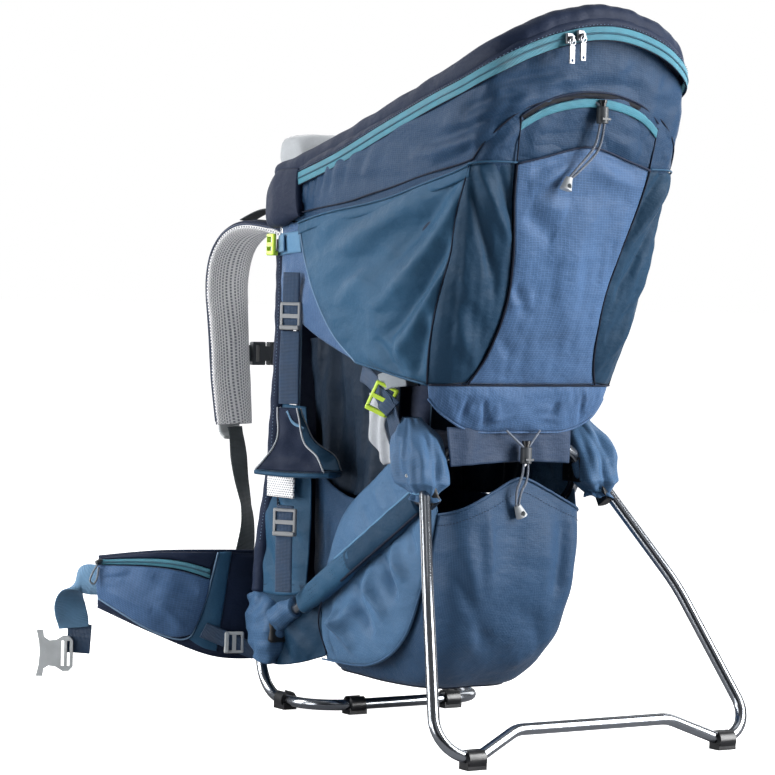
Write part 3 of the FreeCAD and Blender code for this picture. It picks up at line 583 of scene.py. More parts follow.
liner_low = [(0, 440), (1, 430), (2.6, 392), (4.3, 368), (8, 366), (11.7, 368), (13.4, 392),
             (15, 430), (16, 440)]
UNDER_TAPE = [(s, z + 9) for s, z in ZIP_LOW]
liner_high = [(0, 566)] + UNDER_TAPE + [(16, 566)]
q = coons(*between(liner_low, liner_high), 120, 30)
skin("cabin_liner", stand_off(q, np.full(q.shape[:2], -3.0)), 1.6, navy,
     nodes=("outer_wall", "side_panels"), outward=None)

upper_low = [(0.5, 532), (1.6, 533), (2.6, 548), (3.4, 565), (4.3, 573), (5, 575), (6, 577),
             (7, 578), (8, 579)]
upper_low = round_front(upper_low)
gathers = []
for i in range(8):
    s = 0.75 + 0.24 * i
    gathers.append(((s, 540 + 5 * i), (s + 0.12, 566 + 7 * i), 4.6, 2.6 - 0.22 * i))
    gathers.append(((s + 0.12, 540 + 5 * i), (s + 0.24, 566 + 7 * i), 4.0, -2.2 + 0.2 * i))
upper_folds = gathers + [
    ((3.2, 608), (5.6, 640), 7, -3.4), ((3.0, 596), (5.2, 618), 8, 3.4),
    ((4.0, 640), (6.4, 666), 6, -2.8), ((4.2, 628), (6.8, 662), 7, 2.6),
    ((4.9, 664), (7.0, 682), 5, -2.2), ((5.1, 654), (7.2, 676), 6, 2.0),
    ((3.5, 584), (4.6, 606), 7, -3.0), ((6.4, 672), (9.0, 690), 8, 1.8),
    ((7.4, 668), (9.8, 672), 6, -1.6), ((9.0, 676), (10.4, 664), 8, 2.2),
]
panel("upper_panel", between(upper_low, UNDER_TAPE), slate_dark, -0.5, 3.5, upper_folds, 1.5,
      (260, 54), 4, wave=70)

arch_low = [(4.6, 588), (5.5, 586), (6.6, 590), (7.4, 596), (8, 598)]
arch_low = round_front(arch_low)
panel("front_yoke", between(arch_low, ARCH), slate_dark, 2.0, 2.0, (
    ((5.0, 596), (6.0, 628), 8, 2.4), ((6.4, 612), (7.8, 620), 8, -2.0),
    ((8.4, 622), (9.6, 606), 7, 2.0)), 1.0, (120, 40), 7)
seam("front_yoke_seam", ARCH, 3.0, 0.9)
seam("front_yoke_dart_left", [(6.0, 590), (5.93, 636)], 4.4, 0.8)
seam("front_yoke_dart_right", [(10.0, 590), (10.0, 632)], 4.4, 0.8)
CRESCENT_LOW = [(5.96, 622), (6.6, 638), (7.3, 646), (8, 648.5), (8.7, 646), (9.4, 638), (10.0, 622)]
CRESCENT_TOP = [(s, z + 8.5) for s, z in CRESCENT_LOW]
SLOT_TOP = [(s, z + 6.5) for s, z in CRESCENT_TOP]
panel("stretch_pocket_tape", between(CRESCENT_LOW, CRESCENT_TOP), teal, 5.0, 0.8, (), 0.2, (90, 8))
# The black band above the teal tape is painted shadow: it stands for the shade inside the pocket's
# opening.
panel("stretch_pocket_mouth", between(CRESCENT_TOP, SLOT_TOP), pocket_mouth_shadow_cloth, 3.2, 0.4, (), 0.2, (90, 6))
seam("stretch_pocket_lip", SLOT_TOP, 4.0, 1.0, navy)

side_folds = (
    ((4.1, 578), (2.7, 470), 10, -7.0), ((4.25, 552), (3.0, 440), 9, 6.5),
    ((3.5, 566), (2.2, 500), 12, 6.0), ((2.7, 545), (1.7, 500), 10, -3.2),
    ((4.1, 512), (3.3, 410), 8, -7.0), ((4.1, 476), (3.55, 386), 8, 6.0),
    ((3.9, 450), (4.05, 378), 6, -5.0), ((3.5, 420), (3.95, 372), 6, 4.2),
    ((3.1, 412), (3.75, 372), 5, -3.4), ((2.8, 400), (3.6, 370), 5, 2.4),
    ((2.5, 480), (3.4, 384), 12, 3.2), ((1.6, 470), (2.4, 405), 12, 2.4),
    ((4.0, 590), (3.4, 556), 7, -3.4), ((4.2, 440), (4.3, 372), 5, 3.0),
    ((3.3, 540), (2.0, 452), 9, -3.0), ((3.0, 500), (2.2, 440), 9, 2.6),
)
wing_folds = (
    ((4.6, 578), (5.95, 460), 9, -4.6), ((4.8, 590), (6.1, 512), 8, 4.4),
    ((5.4, 590), (6.05, 540), 6, -3.4), ((4.7, 520), (5.2, 400), 14, 2.4),
    ((4.5, 470), (5.9, 420), 10, -2.0), ((4.9, 430), (5.9, 384), 9, 2.0),
)
for side, mirror in (("left", False), ("right", True)):
    panel("side_pocket_" + side, (LOW_EDGE, POCKET_TOP, DIAGONAL, REAR_SEAM), petrol, 2.0, 6.0,
          side_folds, 1.3, (110, 90), 21, mirror=mirror, wave=80)
    hem = [(s, z - 12) for s, z in POCKET_TOP]
    hem_edges = (hem, [(s, z + 1) for s, z in POCKET_TOP], [hem[0], POCKET_TOP[0]],
                 [hem[-1], POCKET_TOP[-1]])
    panel("side_pocket_hem_" + side, hem_edges, petrol, 3.6, 1.6, (), 0.8, (90, 8), 5, mirror=mirror)
    seam("side_pocket_edge_" + side, [(s, z + 0.5) for s, z in POCKET_TOP], 5.0, 1.1, petrol, mirror)
    seam("hem_shadow_" + side, HEM_TOP, 2.4, 1.0, thread_dark, mirror)
    seam("rear_seam_" + side, REAR_SEAM, 3.0, 1.0, thread_dark, mirror)
    seam("diagonal_seam_" + side, DIAGONAL, 2.8, 1.0, thread_blue, mirror)
    seam("low_edge_" + side, LOW_EDGE, 2.2, 1.4, petrol, mirror)
    wing_top = [(4.5, 587), (5.2, 590), (6.0, 590)]
    wing_low = [(4.33, 367), (5.0, 367), (5.68, 369)]
    panel("front_wing_" + side, (wing_low, wing_top, REAR_SEAM, FRONT_SEAM), petrol_deep, 2.2, 4.5,
          wing_folds, 1.0, (60, 80), 31, mirror=mirror, wave=70)
    seam("front_wing_edge_" + side, [(4.5, 588), (5.2, 591), (6.0, 591)], 5.0, 1.0, petrol, mirror)
    seam("front_seam_" + side, FRONT_SEAM, 5.6, 1.1, thread_dark, mirror)
    triangle_low = [(0.0, 446), (0.9, 425), (1.8, 402), (2.62, 384)]
    panel("rear_corner_" + side, (triangle_low, [(0.0, 532), (0.5, 531), (0.95, 529)],
                                  [(0.0, 446), (0.0, 532)], DIAGONAL), slate, 0.6, 2.5,
          (((0.1, 470), (1.0, 440), 8, 2.0), ((0.3, 500), (1.3, 460), 9, -1.6)), 1.0, (40, 50), 41,
          mirror=mirror)
    panel("rear_patch_" + side, between([(0.0, 494), (1.06, 498)], [(0.0, 518), (0.98, 521)]),
          petrol_light, 3.0, 1.2, (), 0.6, (24, 14), 43, mirror=mirror)

pocket_low = [(5.68, 368), (6.8, 367.5), (8, 367.5), (9.2, 367.5), (10.32, 368)]
pocket_top = [(6.0, 590), (6.65, 597), (7.4, 606), (8, 610), (8.6, 606), (9.35, 597), (10.0, 590)]
far_seam = [(AROUND - s, z) for s, z in FRONT_SEAM]
pocket_folds = (
    ((6.4, 585), (7.9, 604), 6, -3.0), ((6.4, 566), (7.6, 600), 9, 3.4),
    ((6.4, 540), (7.4, 520), 10, -2.6), ((6.6, 555), (7.6, 545), 9, 2.4),
    ((8.2, 602), (9.6, 586), 6, -2.2), ((8.2, 590), (9.8, 572), 8, 2.6),
    ((6.5, 470), (7.2, 440), 8, -2.4), ((6.5, 450), (7.2, 458), 7, 2.2),
    ((6.3, 420), (7.0, 400), 8, -1.8), ((8.0, 560), (8.3, 420), 26, 3.0),
)
panel("front_pocket", (pocket_low, pocket_top, FRONT_SEAM, far_seam), slate, 4.0, 6.0, pocket_folds,
      1.1, (90, 90), 51, nodes=("outer_pocket",), wave=70)
seam("front_pocket_edge", pocket_top, 6.2, 1.1, navy)
seam("front_pocket_base", [(4.4, 366.5), (5.7, 367), (8, 367), (10.3, 367), (11.6, 366.5)], 3.4, 1.1)

skirt_low = [(4.45, 352), (4.9, 338), (5.6, 326), (6.4, 319), (7.2, 317), (8, 318), (8.8, 317),
             (9.6, 319), (10.4, 326), (11.1, 338), (11.55, 352)]
skirt_top = [(4.33, 367), (5.7, 368), (8, 368), (10.3, 368), (11.67, 367)]
skirt_folds = (
    ((6.9, 318), (6.5, 352), 5, -3.6), ((7.15, 318), (7.0, 350), 5, 3.4),
    ((8.75, 318), (8.9, 350), 5, -3.2), ((8.5, 318), (8.5, 348), 5, 3.2),
    ((5.7, 328), (5.9, 356), 7, -2.2), ((10.2, 328), (9.9, 356), 7, -2.2),
    ((7.8, 318), (7.8, 346), 6, 2.6), ((6.0, 340), (7.4, 330), 9, 2.0),
)
panel("skirt", between(skirt_low, skirt_top), slate, 1.0, 5.0, skirt_folds, 1.2, (120, 36), 61,
      nodes=("skirt_panels",))
seam("skirt_hem", skirt_low, 2.6, 1.3, slate)
flap = coons(*between([(-84, 282), (0, 286), (64, 284)], [(-88, 322), (0, 322), (66, 322)]), 90, 20)
deep = 156 + 1.6 * ripple(flap, 45, 5) + 1.5 * np.cos(flap[..., 0] / 19)
skin("lower_flap", np.stack([flap[..., 0], deep, flap[..., 1]], -1), 1.4, navy_bright,
     outward=(0, -1, 0))

# ---------------------------------------------------------------- rim, zip and corners

RIM = [(-112, 452, 583), (-112, 400, 593), (-112, 322, 614), (-113, 230, 641), (-114, 140, 668),
       (-114, 92, 683), (-106, 54, 700), (-76, 37, 718), (-38, 31, 731), (0, 29, 736)]
RIM = mirrored(RIM)
sweep("rim_roll", RIM, (0, 0, 1), 13.2, 12.2, navy, n=420, around=26, power=2.3,
      nodes=("top_rim",), wobble=0.9, wave=26, seed=3)
ZIP = [(-124, 450, 566), (-126, 400, 577), (-127, 322, 596), (-128, 230, 624), (-129, 140, 650),
       (-129, 90, 663), (-120, 46, 680), (-84, 25, 701), (-42, 18, 715), (0, 15, 720)]
ZIP = mirrored(ZIP)
zip_line = line(ZIP, 400)
rim_line = line(RIM, 400)
outward = unit((zip_line - CABIN_MIDDLE) * [1, 1, 0])
sweep("zip_tape", ZIP, (0, 0, 1), 6.8, 1.0, teal, n=400, around=14, power=5, nodes=("main_zip",))
bead("zip_coil", zip_line + outward * 1.1, 1.05, teal_dark, n=400)
bead("zip_edge_top", zip_line + [0, 0, 7.4], 0.8, thread_dark, n=300)
bead("zip_edge_low", zip_line - [0, 0, 7.2], 0.8, thread_dark, n=300)
k = np.linspace(0, 1, 16)[None, :, None]
start = zip_line[:, None] + [0, 0, 5.0] - outward[:, None] * 0.6
end = rim_line[:, None] + outward[:, None] * 9.0 + [0, 0, 2.0]
strip = start + (end - start) * k
strip = strip + outward[:, None] * (3.2 * np.sin(k * math.pi))
strip = strip + outward[:, None] * (0.8 * ripple(strip, 24, 8) * np.sin(k[..., 0] * math.pi))[..., None]
skin("rim_facing", strip, 1.3, navy, outward=(0, -1, 0.2))
stitches("rim_stitching", [zip_line[4:-4] + outward[4:-4] * 1.0 + [0, 0, 8.4]], thread_blue,
         pitch=4.2, size=2.4, fat=0.35)

# ---------------------------------------------------------------- luggage compartment

# Level loops of the bag: height, front y, rear y, half width, corner radius.
BAG = np.array([(42, 236, 418, 58, 30), (50, 212, 428, 68, 34), (75, 182, 437, 78, 36),
                (110, 160, 440, 84, 34), (160, 148, 440, 87, 28), (205, 145, 438, 88.5, 26),
                (240, 147, 436, 88.5, 24), (275, 150, 434, 88.5, 22)], float)


def bag_point(u, v):
    """Bag wall: u runs round from the rear middle over the near side, v from bottom to top."""
    z, front, rear, half, corner = np.moveaxis(catmull(BAG, v * (len(BAG) - 1)), -1, 0)
    a = 2 * math.pi * u + math.pi / 2
    power = 2 * np.clip(half / corner, 1.6, 4.2)
    c, s = np.cos(a), np.sin(a)
    x = half * np.sign(c) * np.abs(c) ** (2 / power)
    y = (front + rear) / 2 + (rear - front) / 2 * np.sign(s) * np.abs(s) ** (2 / power)
    return np.stack([x, y, z], -1)


u, v = np.broadcast_arrays(*steps(241, 70))
around = 2 * math.pi * u + math.pi / 2
front_share = np.clip(-np.sin(around), 0, 1)
mouth_x = bag_point(u, v * 0 + 0.86)[..., 0]
apex = 231 + 36 * np.clip(1 - np.abs(mouth_x) / 86, 0, 1) ** 0.9 * (front_share > 0.3)
apex = apex + 43 * np.clip(np.sin(around), 0, 1) ** 0.5
lift_v = np.interp(apex, BAG[:, 0], np.linspace(0, 1, len(BAG)))
p = bag_point(u, v * lift_v)
out = normals(p)
if (out[120, 40] @ np.array([0, -1.0, 0])) < 0:
    out = -out
flat = np.stack([p[..., 0], p[..., 2]], -1)
fold = creases(flat, (
    ((-44, 250), (-36, 150), 8, 4.0), ((-28, 246), (-24, 170), 7, -5.0),
    ((-8, 240), (-12, 150), 8, 4.6), ((14, 252), (10, 160), 7, -5.5),
    ((34, 246), (28, 150), 9, 5.0), ((54, 236), (50, 150), 8, -4.4),
    ((74, 224), (60, 120), 10, 3.0), ((-70, 220), (-40, 90), 10, 3.0),
    ((-84, 190), (-30, 96), 8, -3.4), ((60, 100), (0, 60), 10, 2.0), ((20, 130), (50, 80), 9, -2.4),
    ((-60, 120), (0, 80), 9, -2.2), ((-10, 110), (30, 66), 8, 2.2)))
sag = np.sin(math.pi * v) ** 0.6
p = p + out * ((fold * front_share + 1.3 * ripple(p, 60, 12)) * sag)[..., None]
p[..., 0] = np.clip(p[..., 0], -89.6, 89.6)
skin("storage_bag_cloth", p, 1.4, slate_bag_painted_shade, nodes=("storage_bag",), back=navy)
hem = p[60:182, -1] + out[60:182, -1] * 0.4
bead("bag_hem", hem, 1.5, slate_bag_painted_shade, n=160)
stitches("bag_hem_stitching", [p[66:176, -5] + out[66:176, -5] * 0.5], thread_dark, pitch=3.6)
floor_u = np.linspace(0, 2 * math.pi, 60, endpoint=False)
disc = []
for share in np.linspace(0.02, 1, 12):
    disc.append(np.stack([54 * share * np.cos(floor_u), 331 + 87 * share * np.sin(floor_u),
                          41 - 3.0 * (1 - share ** 2) + 0 * floor_u], -1))
disc = np.moveaxis(np.array(disc), 0, 1)
disc = np.concatenate([disc, disc[:1]], 0)
skin("bag_bottom", disc, 1.4, slate_bag_painted_shade, outward=(0, 0, -1))
bead("bag_base_seam", p[:, 4] + out[:, 4] * 0.6, 0.8, thread_dark, n=200)

# Fan-shaped side gusset between the seat tube and the bag.
for side, sgn in SIDES:
    upper = [(-97, 196, 300), (-99, 214, 306), (-101, 285, 262), (-100, 352, 212), (-98, 393, 122)]
    lower = [(-88.5, 172, 236), (-88.5, 190, 170), (-88, 224, 100), (-85, 290, 62), (-84, 384, 56)]
    grid = coons(*between(lower, upper), 110, 50)
    gu, gv = steps(110, 50)
    plane = np.stack([grid[..., 1], grid[..., 2]], -1)
    dent = creases(plane, (
        ((330, 214), (250, 120), 8, 4.5), ((310, 232), (232, 140), 7, -4.5),
        ((285, 250), (214, 160), 8, 4.0), ((258, 262), (200, 190), 6, -4.0),
        ((352, 190), (280, 96), 9, -4.0), ((372, 150), (320, 76), 9, 4.0),
        ((236, 282), (190, 215), 7, 3.6), ((300, 130), (352, 92), 10, 3.0)))
    bulge = (4 * gu * (1 - gu)) ** 0.5 * (4 * gv * (1 - gv)) ** 0.5
    # Millimetres below the slanting seat tube, which climbs 164 over 264 from y 452, z 86.
    below = ((452 - grid[..., 1]) * 164 - (grid[..., 2] - 86) * 264) / 310.8
    clear = np.clip((below - 12) / 34, 0, 1) + 0.4 * np.clip((-below - 14) / 34, 0, 1)
    grid[..., 0] = np.maximum(grid[..., 0], -91.5) - bulge * clear * (9 + 2.8 * dent)
    grid[..., 0] -= bulge * clear * 1.2 * ripple(grid, 50, 17)
    skin("gusset_" + side, flip(grid, sgn), 1.4, slate_gusset_painted_light, outward=(-sgn, 0, 0),
         nodes=("side_gussets",) if sgn > 0 else ())
    tip = line([(-99, 352, 148), (-104.5, 366, 122), (-103.5, 372, 96), (-96, 366, 66)], 30)
    bead("gusset_seam_" + side, flip(tip, sgn), 0.9, thread_dark)
    edge = [(-90.5, 384, 58), (-90.5, 290, 63), (-92.5, 222, 99), (-92.0, 186, 169)]
    bead("gusset_edge_" + side, flip(edge, sgn), 1.0, slate_plain)

# Sleeves round the slanting seat tube and the uprights, and the lower corner pouches.
for side, sgn in SIDES:
    slant = [(-93.2, 200, 242.5), (-97, 262, 204), (-101.5, 335, 158.6), (-107, 400, 118)]
    slant = line(slant, 60)
    sweep("seat_tube_sleeve_" + side, flip(slant[32:], sgn), (0, 0.53, 0.85), [12.5, 15, 14.5, 12],
          [8.6, 9.2, 9.2, 8.8], petrol, n=60, around=30, power=2.4, wobble=0.6, wave=30, seed=6)
    sweep("seat_tube_cover_" + side, flip(slant[:35], sgn), (0, 0.53, 0.85), [13, 15, 14.5, 13],
          [8.2, 8.6, 8.8, 8.6], petrol_deep, n=60, around=30, power=2.4, wobble=0.7, wave=26, seed=8)
    for tag, rise, stuff in (("upper", 13.0, petrol_light), ("lower", -13.0, thread_dark)):
        bead("seat_tube_piping_%s_%s" % (tag, side),
             flip(slant[:40] + [-4.5, 0.53 * rise, 0.85 * rise], sgn), 1.5, stuff)
    rows = []
    for shift in (-7, -2.5, 2, 6.5):
        rows.append(flip(slant[34:56] + [-9.0 + abs(shift) * 0.16, 0.53 * shift, 0.85 * shift], sgn))
    stitches("sleeve_stitching_" + side, rows, thread_dark, pitch=3.4)
    upright = [(-112, 478, 124), (-112, 474, 180), (-112, 457, 262), (-110, 454, 350),
               (-108, 453, 440), (-104, 461, 512)]
    sweep("upright_sleeve_" + side, flip(upright, sgn), (1, 0, 0), [12, 10.5, 9.5, 9.5, 9.5],
          [9.4, 9.2, 9, 9, 9], navy_flat, n=120, around=22, power=2.4, wobble=0.8, wave=30, seed=9,
          nodes=("frame_covers",) if sgn > 0 else ())
    seam_pts = np.array(upright, float) + [-9.6, -4, 0]
    stitches("upright_stitching_" + side, [flip(seam_pts, sgn)], thread_blue, pitch=3.6)
    pouch = [(-112, 484, 122), (-112, 476, 104), (-112, 468, 84), (-112, 466, 60), (-112, 468, 48)]
    sweep("corner_pouch_" + side, flip(pouch, sgn), (0, 1, 0), [13, 26, 31, 24, 15],
          [11, 14, 15.5, 14, 11.5], slate_plain, n=70, around=40, power=2.5, wobble=2.6, wave=26,
          seed=14)
    cuff = [(-112, 446, 96), (-110, 432, 104), (-107, 416, 112)]
    sweep("pouch_cuff_" + side, flip(cuff, sgn), (0, 0.5, 1), [15, 13, 11], [13, 11, 9.5],
          slate_plain, n=36, around=30, power=2.2, wobble=1.8, wave=18, seed=15)

# Gathered gaiters where the kickstand legs come out.
GAITER = [(-104, 200, 330), (-106.5, 188, 312), (-108, 179, 292), (-108, 173, 268), (-110.5, 160, 248)]
for side, sgn in SIDES:
    c = line(GAITER, 80)[:, None]
    ang = np.linspace(0, 2 * math.pi, 121)[None]
    k = np.linspace(0, 1, 80)[:, None]
    half_x = np.interp(k, [0, 0.25, 0.5, 0.78, 0.93, 1], [10, 20, 23.5, 22, 12, 15])
    half_y = np.interp(k, [0, 0.25, 0.5, 0.78, 0.93, 1], [11, 22, 27, 26, 13, 17])
    square = 1 / (np.abs(np.cos(ang)) ** 3.2 + np.abs(np.sin(ang)) ** 3.2) ** (1 / 3.2)
    square = 1 + (square - 1) * np.interp(k, [0, 0.3, 0.8, 0.93, 1], [0.6, 1, 1, 0.2, 0.2])
    pleat = (np.sin(4 * ang + 3 * np.sin(3 * k) + 1.0) + 0.8 * np.sin(7 * ang - 6 * k)
             + 0.4 * np.sin(13 * ang + 7 * k))
    depth = np.interp(k, [0, 0.4, 0.8, 0.93, 1], [0.8, 2.0, 1.8, 1.1, 2.0])
    puckers = 0.9 * np.sin(k * 15 + 2.5 * np.sin(2 * ang))
    swell = pleat * depth + puckers
    p = np.stack([c[..., 0] + (half_x * square + swell) * np.cos(ang),
                  c[..., 1] + (half_y * square + swell) * np.sin(ang),
                  c[..., 2] + 1.2 * np.sin(6 * ang + 3) * k], -1)
    gaiter = skin("leg_gaiter_" + side, flip(p, sgn), 1.0, slate_plain, body=None,
                  nodes=("leg_gaiters",) if sgn > 0 else ())
    metres([(0, 180, 322)])[0].tolist()
    metres([(0, 165, 262)])[0].tolist()
    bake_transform(gaiter)
    ring = c[72] + np.stack([13.2 * np.cos(ang[0]), 13.6 * np.sin(ang[0]), 0 * ang[0]], -1)
    bead("gaiter_cord_" + side, flip(ring, sgn), 1.5, petrol_light, n=60, body="kickstand")

# Side cloth of the back system between the upright and the bag, with a mesh patch.
for side, sgn in SIDES:
    fore = [(-101, 405, 128), (-100, 400, 200), (-99, 404, 260), (-97, 420, 330)]
    aft = [(-119, 480, 124), (-119.5, 474, 190), (-119.5, 461, 262), (-118, 456, 330)]
    grid = coons([fore[0], (-112, 440, 122), aft[0]], [fore[-1], (-110, 440, 332), aft[-1]], fore, aft,
                 40, 70)
    plane = np.stack([grid[..., 1], grid[..., 2]], -1)
    wrinkle = ripple(grid, 36, 6) + creases(plane, (
        ((470, 300), (430, 210), 7, 2.6), ((474, 240), (430, 150), 8, 3.0),
        ((462, 250), (415, 180), 6, -2.6), ((474, 190), (440, 130), 7, -2.4)))
    grid[..., 0] -= wrinkle * np.sin(np.linspace(0, math.pi, 40))[:, None] ** 0.5
    skin("back_side_cloth_" + side, flip(grid, sgn), 1.3, petrol, outward=(-sgn, 0, 0))
    bead("back_side_seam_" + side, flip(line([(-114.5, 448, 330), (-114.5, 446, 262), (-114, 446, 200),
                                              (-113, 446, 140)], 50), sgn), 1.2, thread_dark)
    stitches("back_side_stitching_" + side,
             [flip([(-116.6, 444, 326), (-116.4, 442, 262), (-115.6, 442, 200), (-114.6, 442, 142)], sgn)],
             thread_blue)
    patch = coons([(-117, 410, 231), (-121, 432, 231), (-122.5, 456, 231)],
                  [(-117, 410, 268), (-121, 432, 268), (-122.5, 456, 268)],
                  [(-117, 410, 231), (-117, 410, 268)], [(-122.5, 456, 231), (-122.5, 456, 268)], 30, 30)
    skin("mesh_patch_" + side, flip(patch, sgn), 2.5, mesh_grey, outward=(-sgn, 0, 0))

# ---------------------------------------------------------------- seat and cabin inside

for side, sgn in SIDES:
    back_edge = [(-76, 432, 250), (-78, 432, 330), (-86, 430, 404)]
    front_edge = [(-79, 258, 262), (-82, 250, 330), (-88, 246, 410)]
    grid = coons([back_edge[0], (-84, 380, 240), (-84, 310, 242), front_edge[0]],
                 [back_edge[-1], (-92, 370, 410), (-92, 310, 414), front_edge[-1]],
                 back_edge, front_edge, 90, 44)
    gu, gv = steps(90, 44)
    drape = 6.5 * np.sin(gu * 15 + 2.6 * gv + 1.1) * (0.45 + 0.55 * gv) + 2.2 * np.sin(gu * 34 - 5 * gv)
    # The cloth is tucked in beside the foot loop, which needs the room.
    tuck = np.exp(-((grid[..., 1] - 362) / 34) ** 2 - ((grid[..., 2] - 272) / 50) ** 2)
    grid[..., 0] += np.clip(drape, -3.5, 8 - 5 * tuck) - 0.5 + 10 * tuck + 1.0 * ripple(grid, 40, 3)
    skin("cabin_curtain_" + side, flip(grid, sgn), 1.4, curtain_cloth, outward=(-sgn, 0, 0),
         nodes=("seat_lining",) if sgn > 0 else ())
    inner = coons([(-106, 232, 282), (-106, 246, 278)], [(-112, 224, 352), (-111, 270, 352)],
                  [(-106, 232, 282), (-114, 236, 320), (-112, 224, 352)],
                  [(-106, 246, 278), (-113, 268, 312), (-111, 270, 352)], 24, 40)
    inner[..., 0] += 2.4 * np.sin(inner[..., 1] * 0.33 + inner[..., 2] * 0.06)
    skin("seat_side_cloth_" + side, flip(inner, sgn), 1.2, pale_cloth, outward=(-sgn, 0, 0))

# Cloth that closes the lower corner between the pouch and the bag.
for side, sgn in SIDES:
    low = [(-88, 380, 62), (-97, 410, 52), (-104, 444, 45), (-106, 466, 44)]
    high = [(-98, 388, 136), (-105, 418, 136), (-112, 446, 134), (-117, 474, 132)]
    grid = coons(*between(low, high), 50, 46)
    plane = np.stack([grid[..., 1], grid[..., 2]], -1)
    corner_folds = creases(plane, (((400, 60), (462, 112), 8, 3.0), ((430, 50), (460, 90), 6, -2.4)))
    grid[..., 0] -= corner_folds + ripple(grid, 30, 19)
    skin("corner_side_cloth_" + side, flip(grid, sgn), 1.2, petrol_deep, outward=(-sgn, 0, 0))

# ---------------------------------------------------------------- stuffed pieces

def node_copy(node, name):
    """A new object with a copy of a CAD node's mesh."""
    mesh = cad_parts[node].data.copy()
    mesh.name = name
    obj = bpy.data.objects.new(name, mesh)
    obj.matrix_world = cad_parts[node].matrix_world.copy()
    bpy.context.collection.objects.link(obj)
    return obj


def apply_all(obj):
    """Puts what the modifiers make into the mesh and takes them off."""
    graph = bpy.context.evaluated_depsgraph_get()
    mesh = bpy.data.meshes.new_from_object(obj.evaluated_get(graph))
    obj.modifiers.clear()
    obj.data = mesh


CLOTH_STEPS = 20


def stuffed(node, name, material, body, voxel=5.0, pressure=4.0, cap=6.0, shrink=1.5):
    """A padded piece puffed up by a cloth simulation from the shape of its CAD solid."""
    obj = node_copy(node, name)
    remesh = obj.modifiers.new("Remesh", "REMESH")
    remesh.mode = "VOXEL"
    remesh.voxel_size = voxel / 1000
    apply_all(obj)
    smooth = obj.modifiers.new("Smooth", "SMOOTH")
    smooth.iterations = 3
    apply_all(obj)
    mesh = obj.data
    count = len(mesh.vertices)
    rest = np.empty(count * 3)
    mesh.vertices.foreach_get("co", rest)
    rest = rest.reshape(-1, 3)
    facing = np.empty(count * 3)
    mesh.vertices.foreach_get("normal", facing)
    start = rest - facing.reshape(-1, 3) * shrink / 1000
    mesh.vertices.foreach_set("co", start.ravel())
    mesh.update()
    cloth_mod = obj.modifiers.new("Cloth", "CLOTH")
    cloth_mod.settings.use_pressure = True
    cloth_mod.settings.uniform_pressure_force = pressure
    cloth_mod.settings.effector_weights.gravity = 0.0
    cloth_mod.point_cache.frame_start = 1
    cloth_mod.point_cache.frame_end = CLOTH_STEPS
    for step in range(1, CLOTH_STEPS + 1):
        bpy.context.scene.frame_set(step)
    graph = bpy.context.evaluated_depsgraph_get()
    swollen = bpy.data.meshes.new_from_object(obj.evaluated_get(graph))
    moved = np.empty(count * 3)
    swollen.vertices.foreach_get("co", moved)
    shift = moved.reshape(-1, 3) - rest
    size = np.linalg.norm(shift, axis=1, keepdims=True)
    rest = rest + shift * np.minimum(1, cap / 1000 / np.maximum(size, 1e-9))
    obj.modifiers.clear()
    bpy.context.scene.frame_set(1)
    spots = rest * 1000
    rest = rest + facing.reshape(-1, 3) * (0.5 * ripple(spots, 34, 2) / 1000)[:, None]
    mesh.vertices.foreach_set("co", rest.ravel())
    mesh.update()
    finer = obj.modifiers.new("Subdivision", "SUBSURF")
    finer.levels = finer.render_levels = 1
    apply_all(obj)
    obj.data.materials.clear()
    obj.data.materials.append(material)
    obj.data.polygons.foreach_set("use_smooth", [True] * len(obj.data.polygons))
    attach(obj, body)
    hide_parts(node)
    return obj


stuffed("back_pads", "back_cushions", mesh_flat, PACK, 4.5, 4.0, 5.0)
stuffed("yoke_pads", "yoke_cushions", mesh_flat, "yoke", 4.5, 4.0, 3.0)
stuffed("chin_pad", "chin_cushion", grey_cloth, PACK, 5.0, 5.0, 8.0, shrink=2.0)
stuffed("seat_pad", "seat_cushion", navy_flat, "seat", 6.0, 3.0, 3.0)
for side, sgn in SIDES:
    stuffed("hip_fin_" + side, "hip_fin_padding_" + side, navy_flat, "hip_wing_" + side, 5.0, 3.0, 3.5,
            shrink=1.0)

# Stiff cloth-faced back panel, with piping, and the yoke's own plate.
for name, path, half, node, body in (
        ("back_panel", [(0, 474, 128), (0, 462, 200), (0, 455, 262), (0, 452, 350), (0, 452, 440),
                        (0, 451, 556)], 88, "back_plate", PACK),
        ("yoke_panel", [(0, 461, 400), (0, 461, 450), (0, 461, 500), (0, 461, 536)], 82,
         "yoke_plate", "yoke")):
    sweep(name, path, (1, 0, 0), half, 2.6, navy, n=70, around=44, power=7, body=body, nodes=(node,),
          wobble=0.25, wave=40, seed=5)
for side, sgn in SIDES:
    pipe_path = flip([(-88, 472.6, 132), (-88, 460.5, 205), (-88, 453, 262), (-88, 450.5, 350),
                      (-88, 450, 440), (-88, 449, 552)], sgn)
    bead("back_panel_piping_" + side, pipe_path, 1.8, thread_blue, n=90)
    outer = flip([(-98, 466, 208), (-101, 460, 262), (-100, 458, 330), (-97, 458, 420)], sgn)
    bead("side_bolster_" + side, outer, 4.0, navy, n=70)
    stitches("side_bolster_stitching_" + side, [outer + np.array([-sgn * 3.9, -1.0, 0])], thread_blue)
    dark = coons(flip([(-90, 452, 232), (-92, 440, 232), (-95, 430, 236)], sgn),
                 flip([(-90, 452, 420), (-98, 440, 416), (-106, 430, 414)], sgn),
                 flip([(-90, 452, 232), (-90, 452, 420)], sgn),
                 flip([(-95, 430, 236), (-106, 430, 414)], sgn), 14, 60)
    skin("rear_side_cloth_" + side, dark, 1.2, navy, outward=(-sgn, 0, 0))

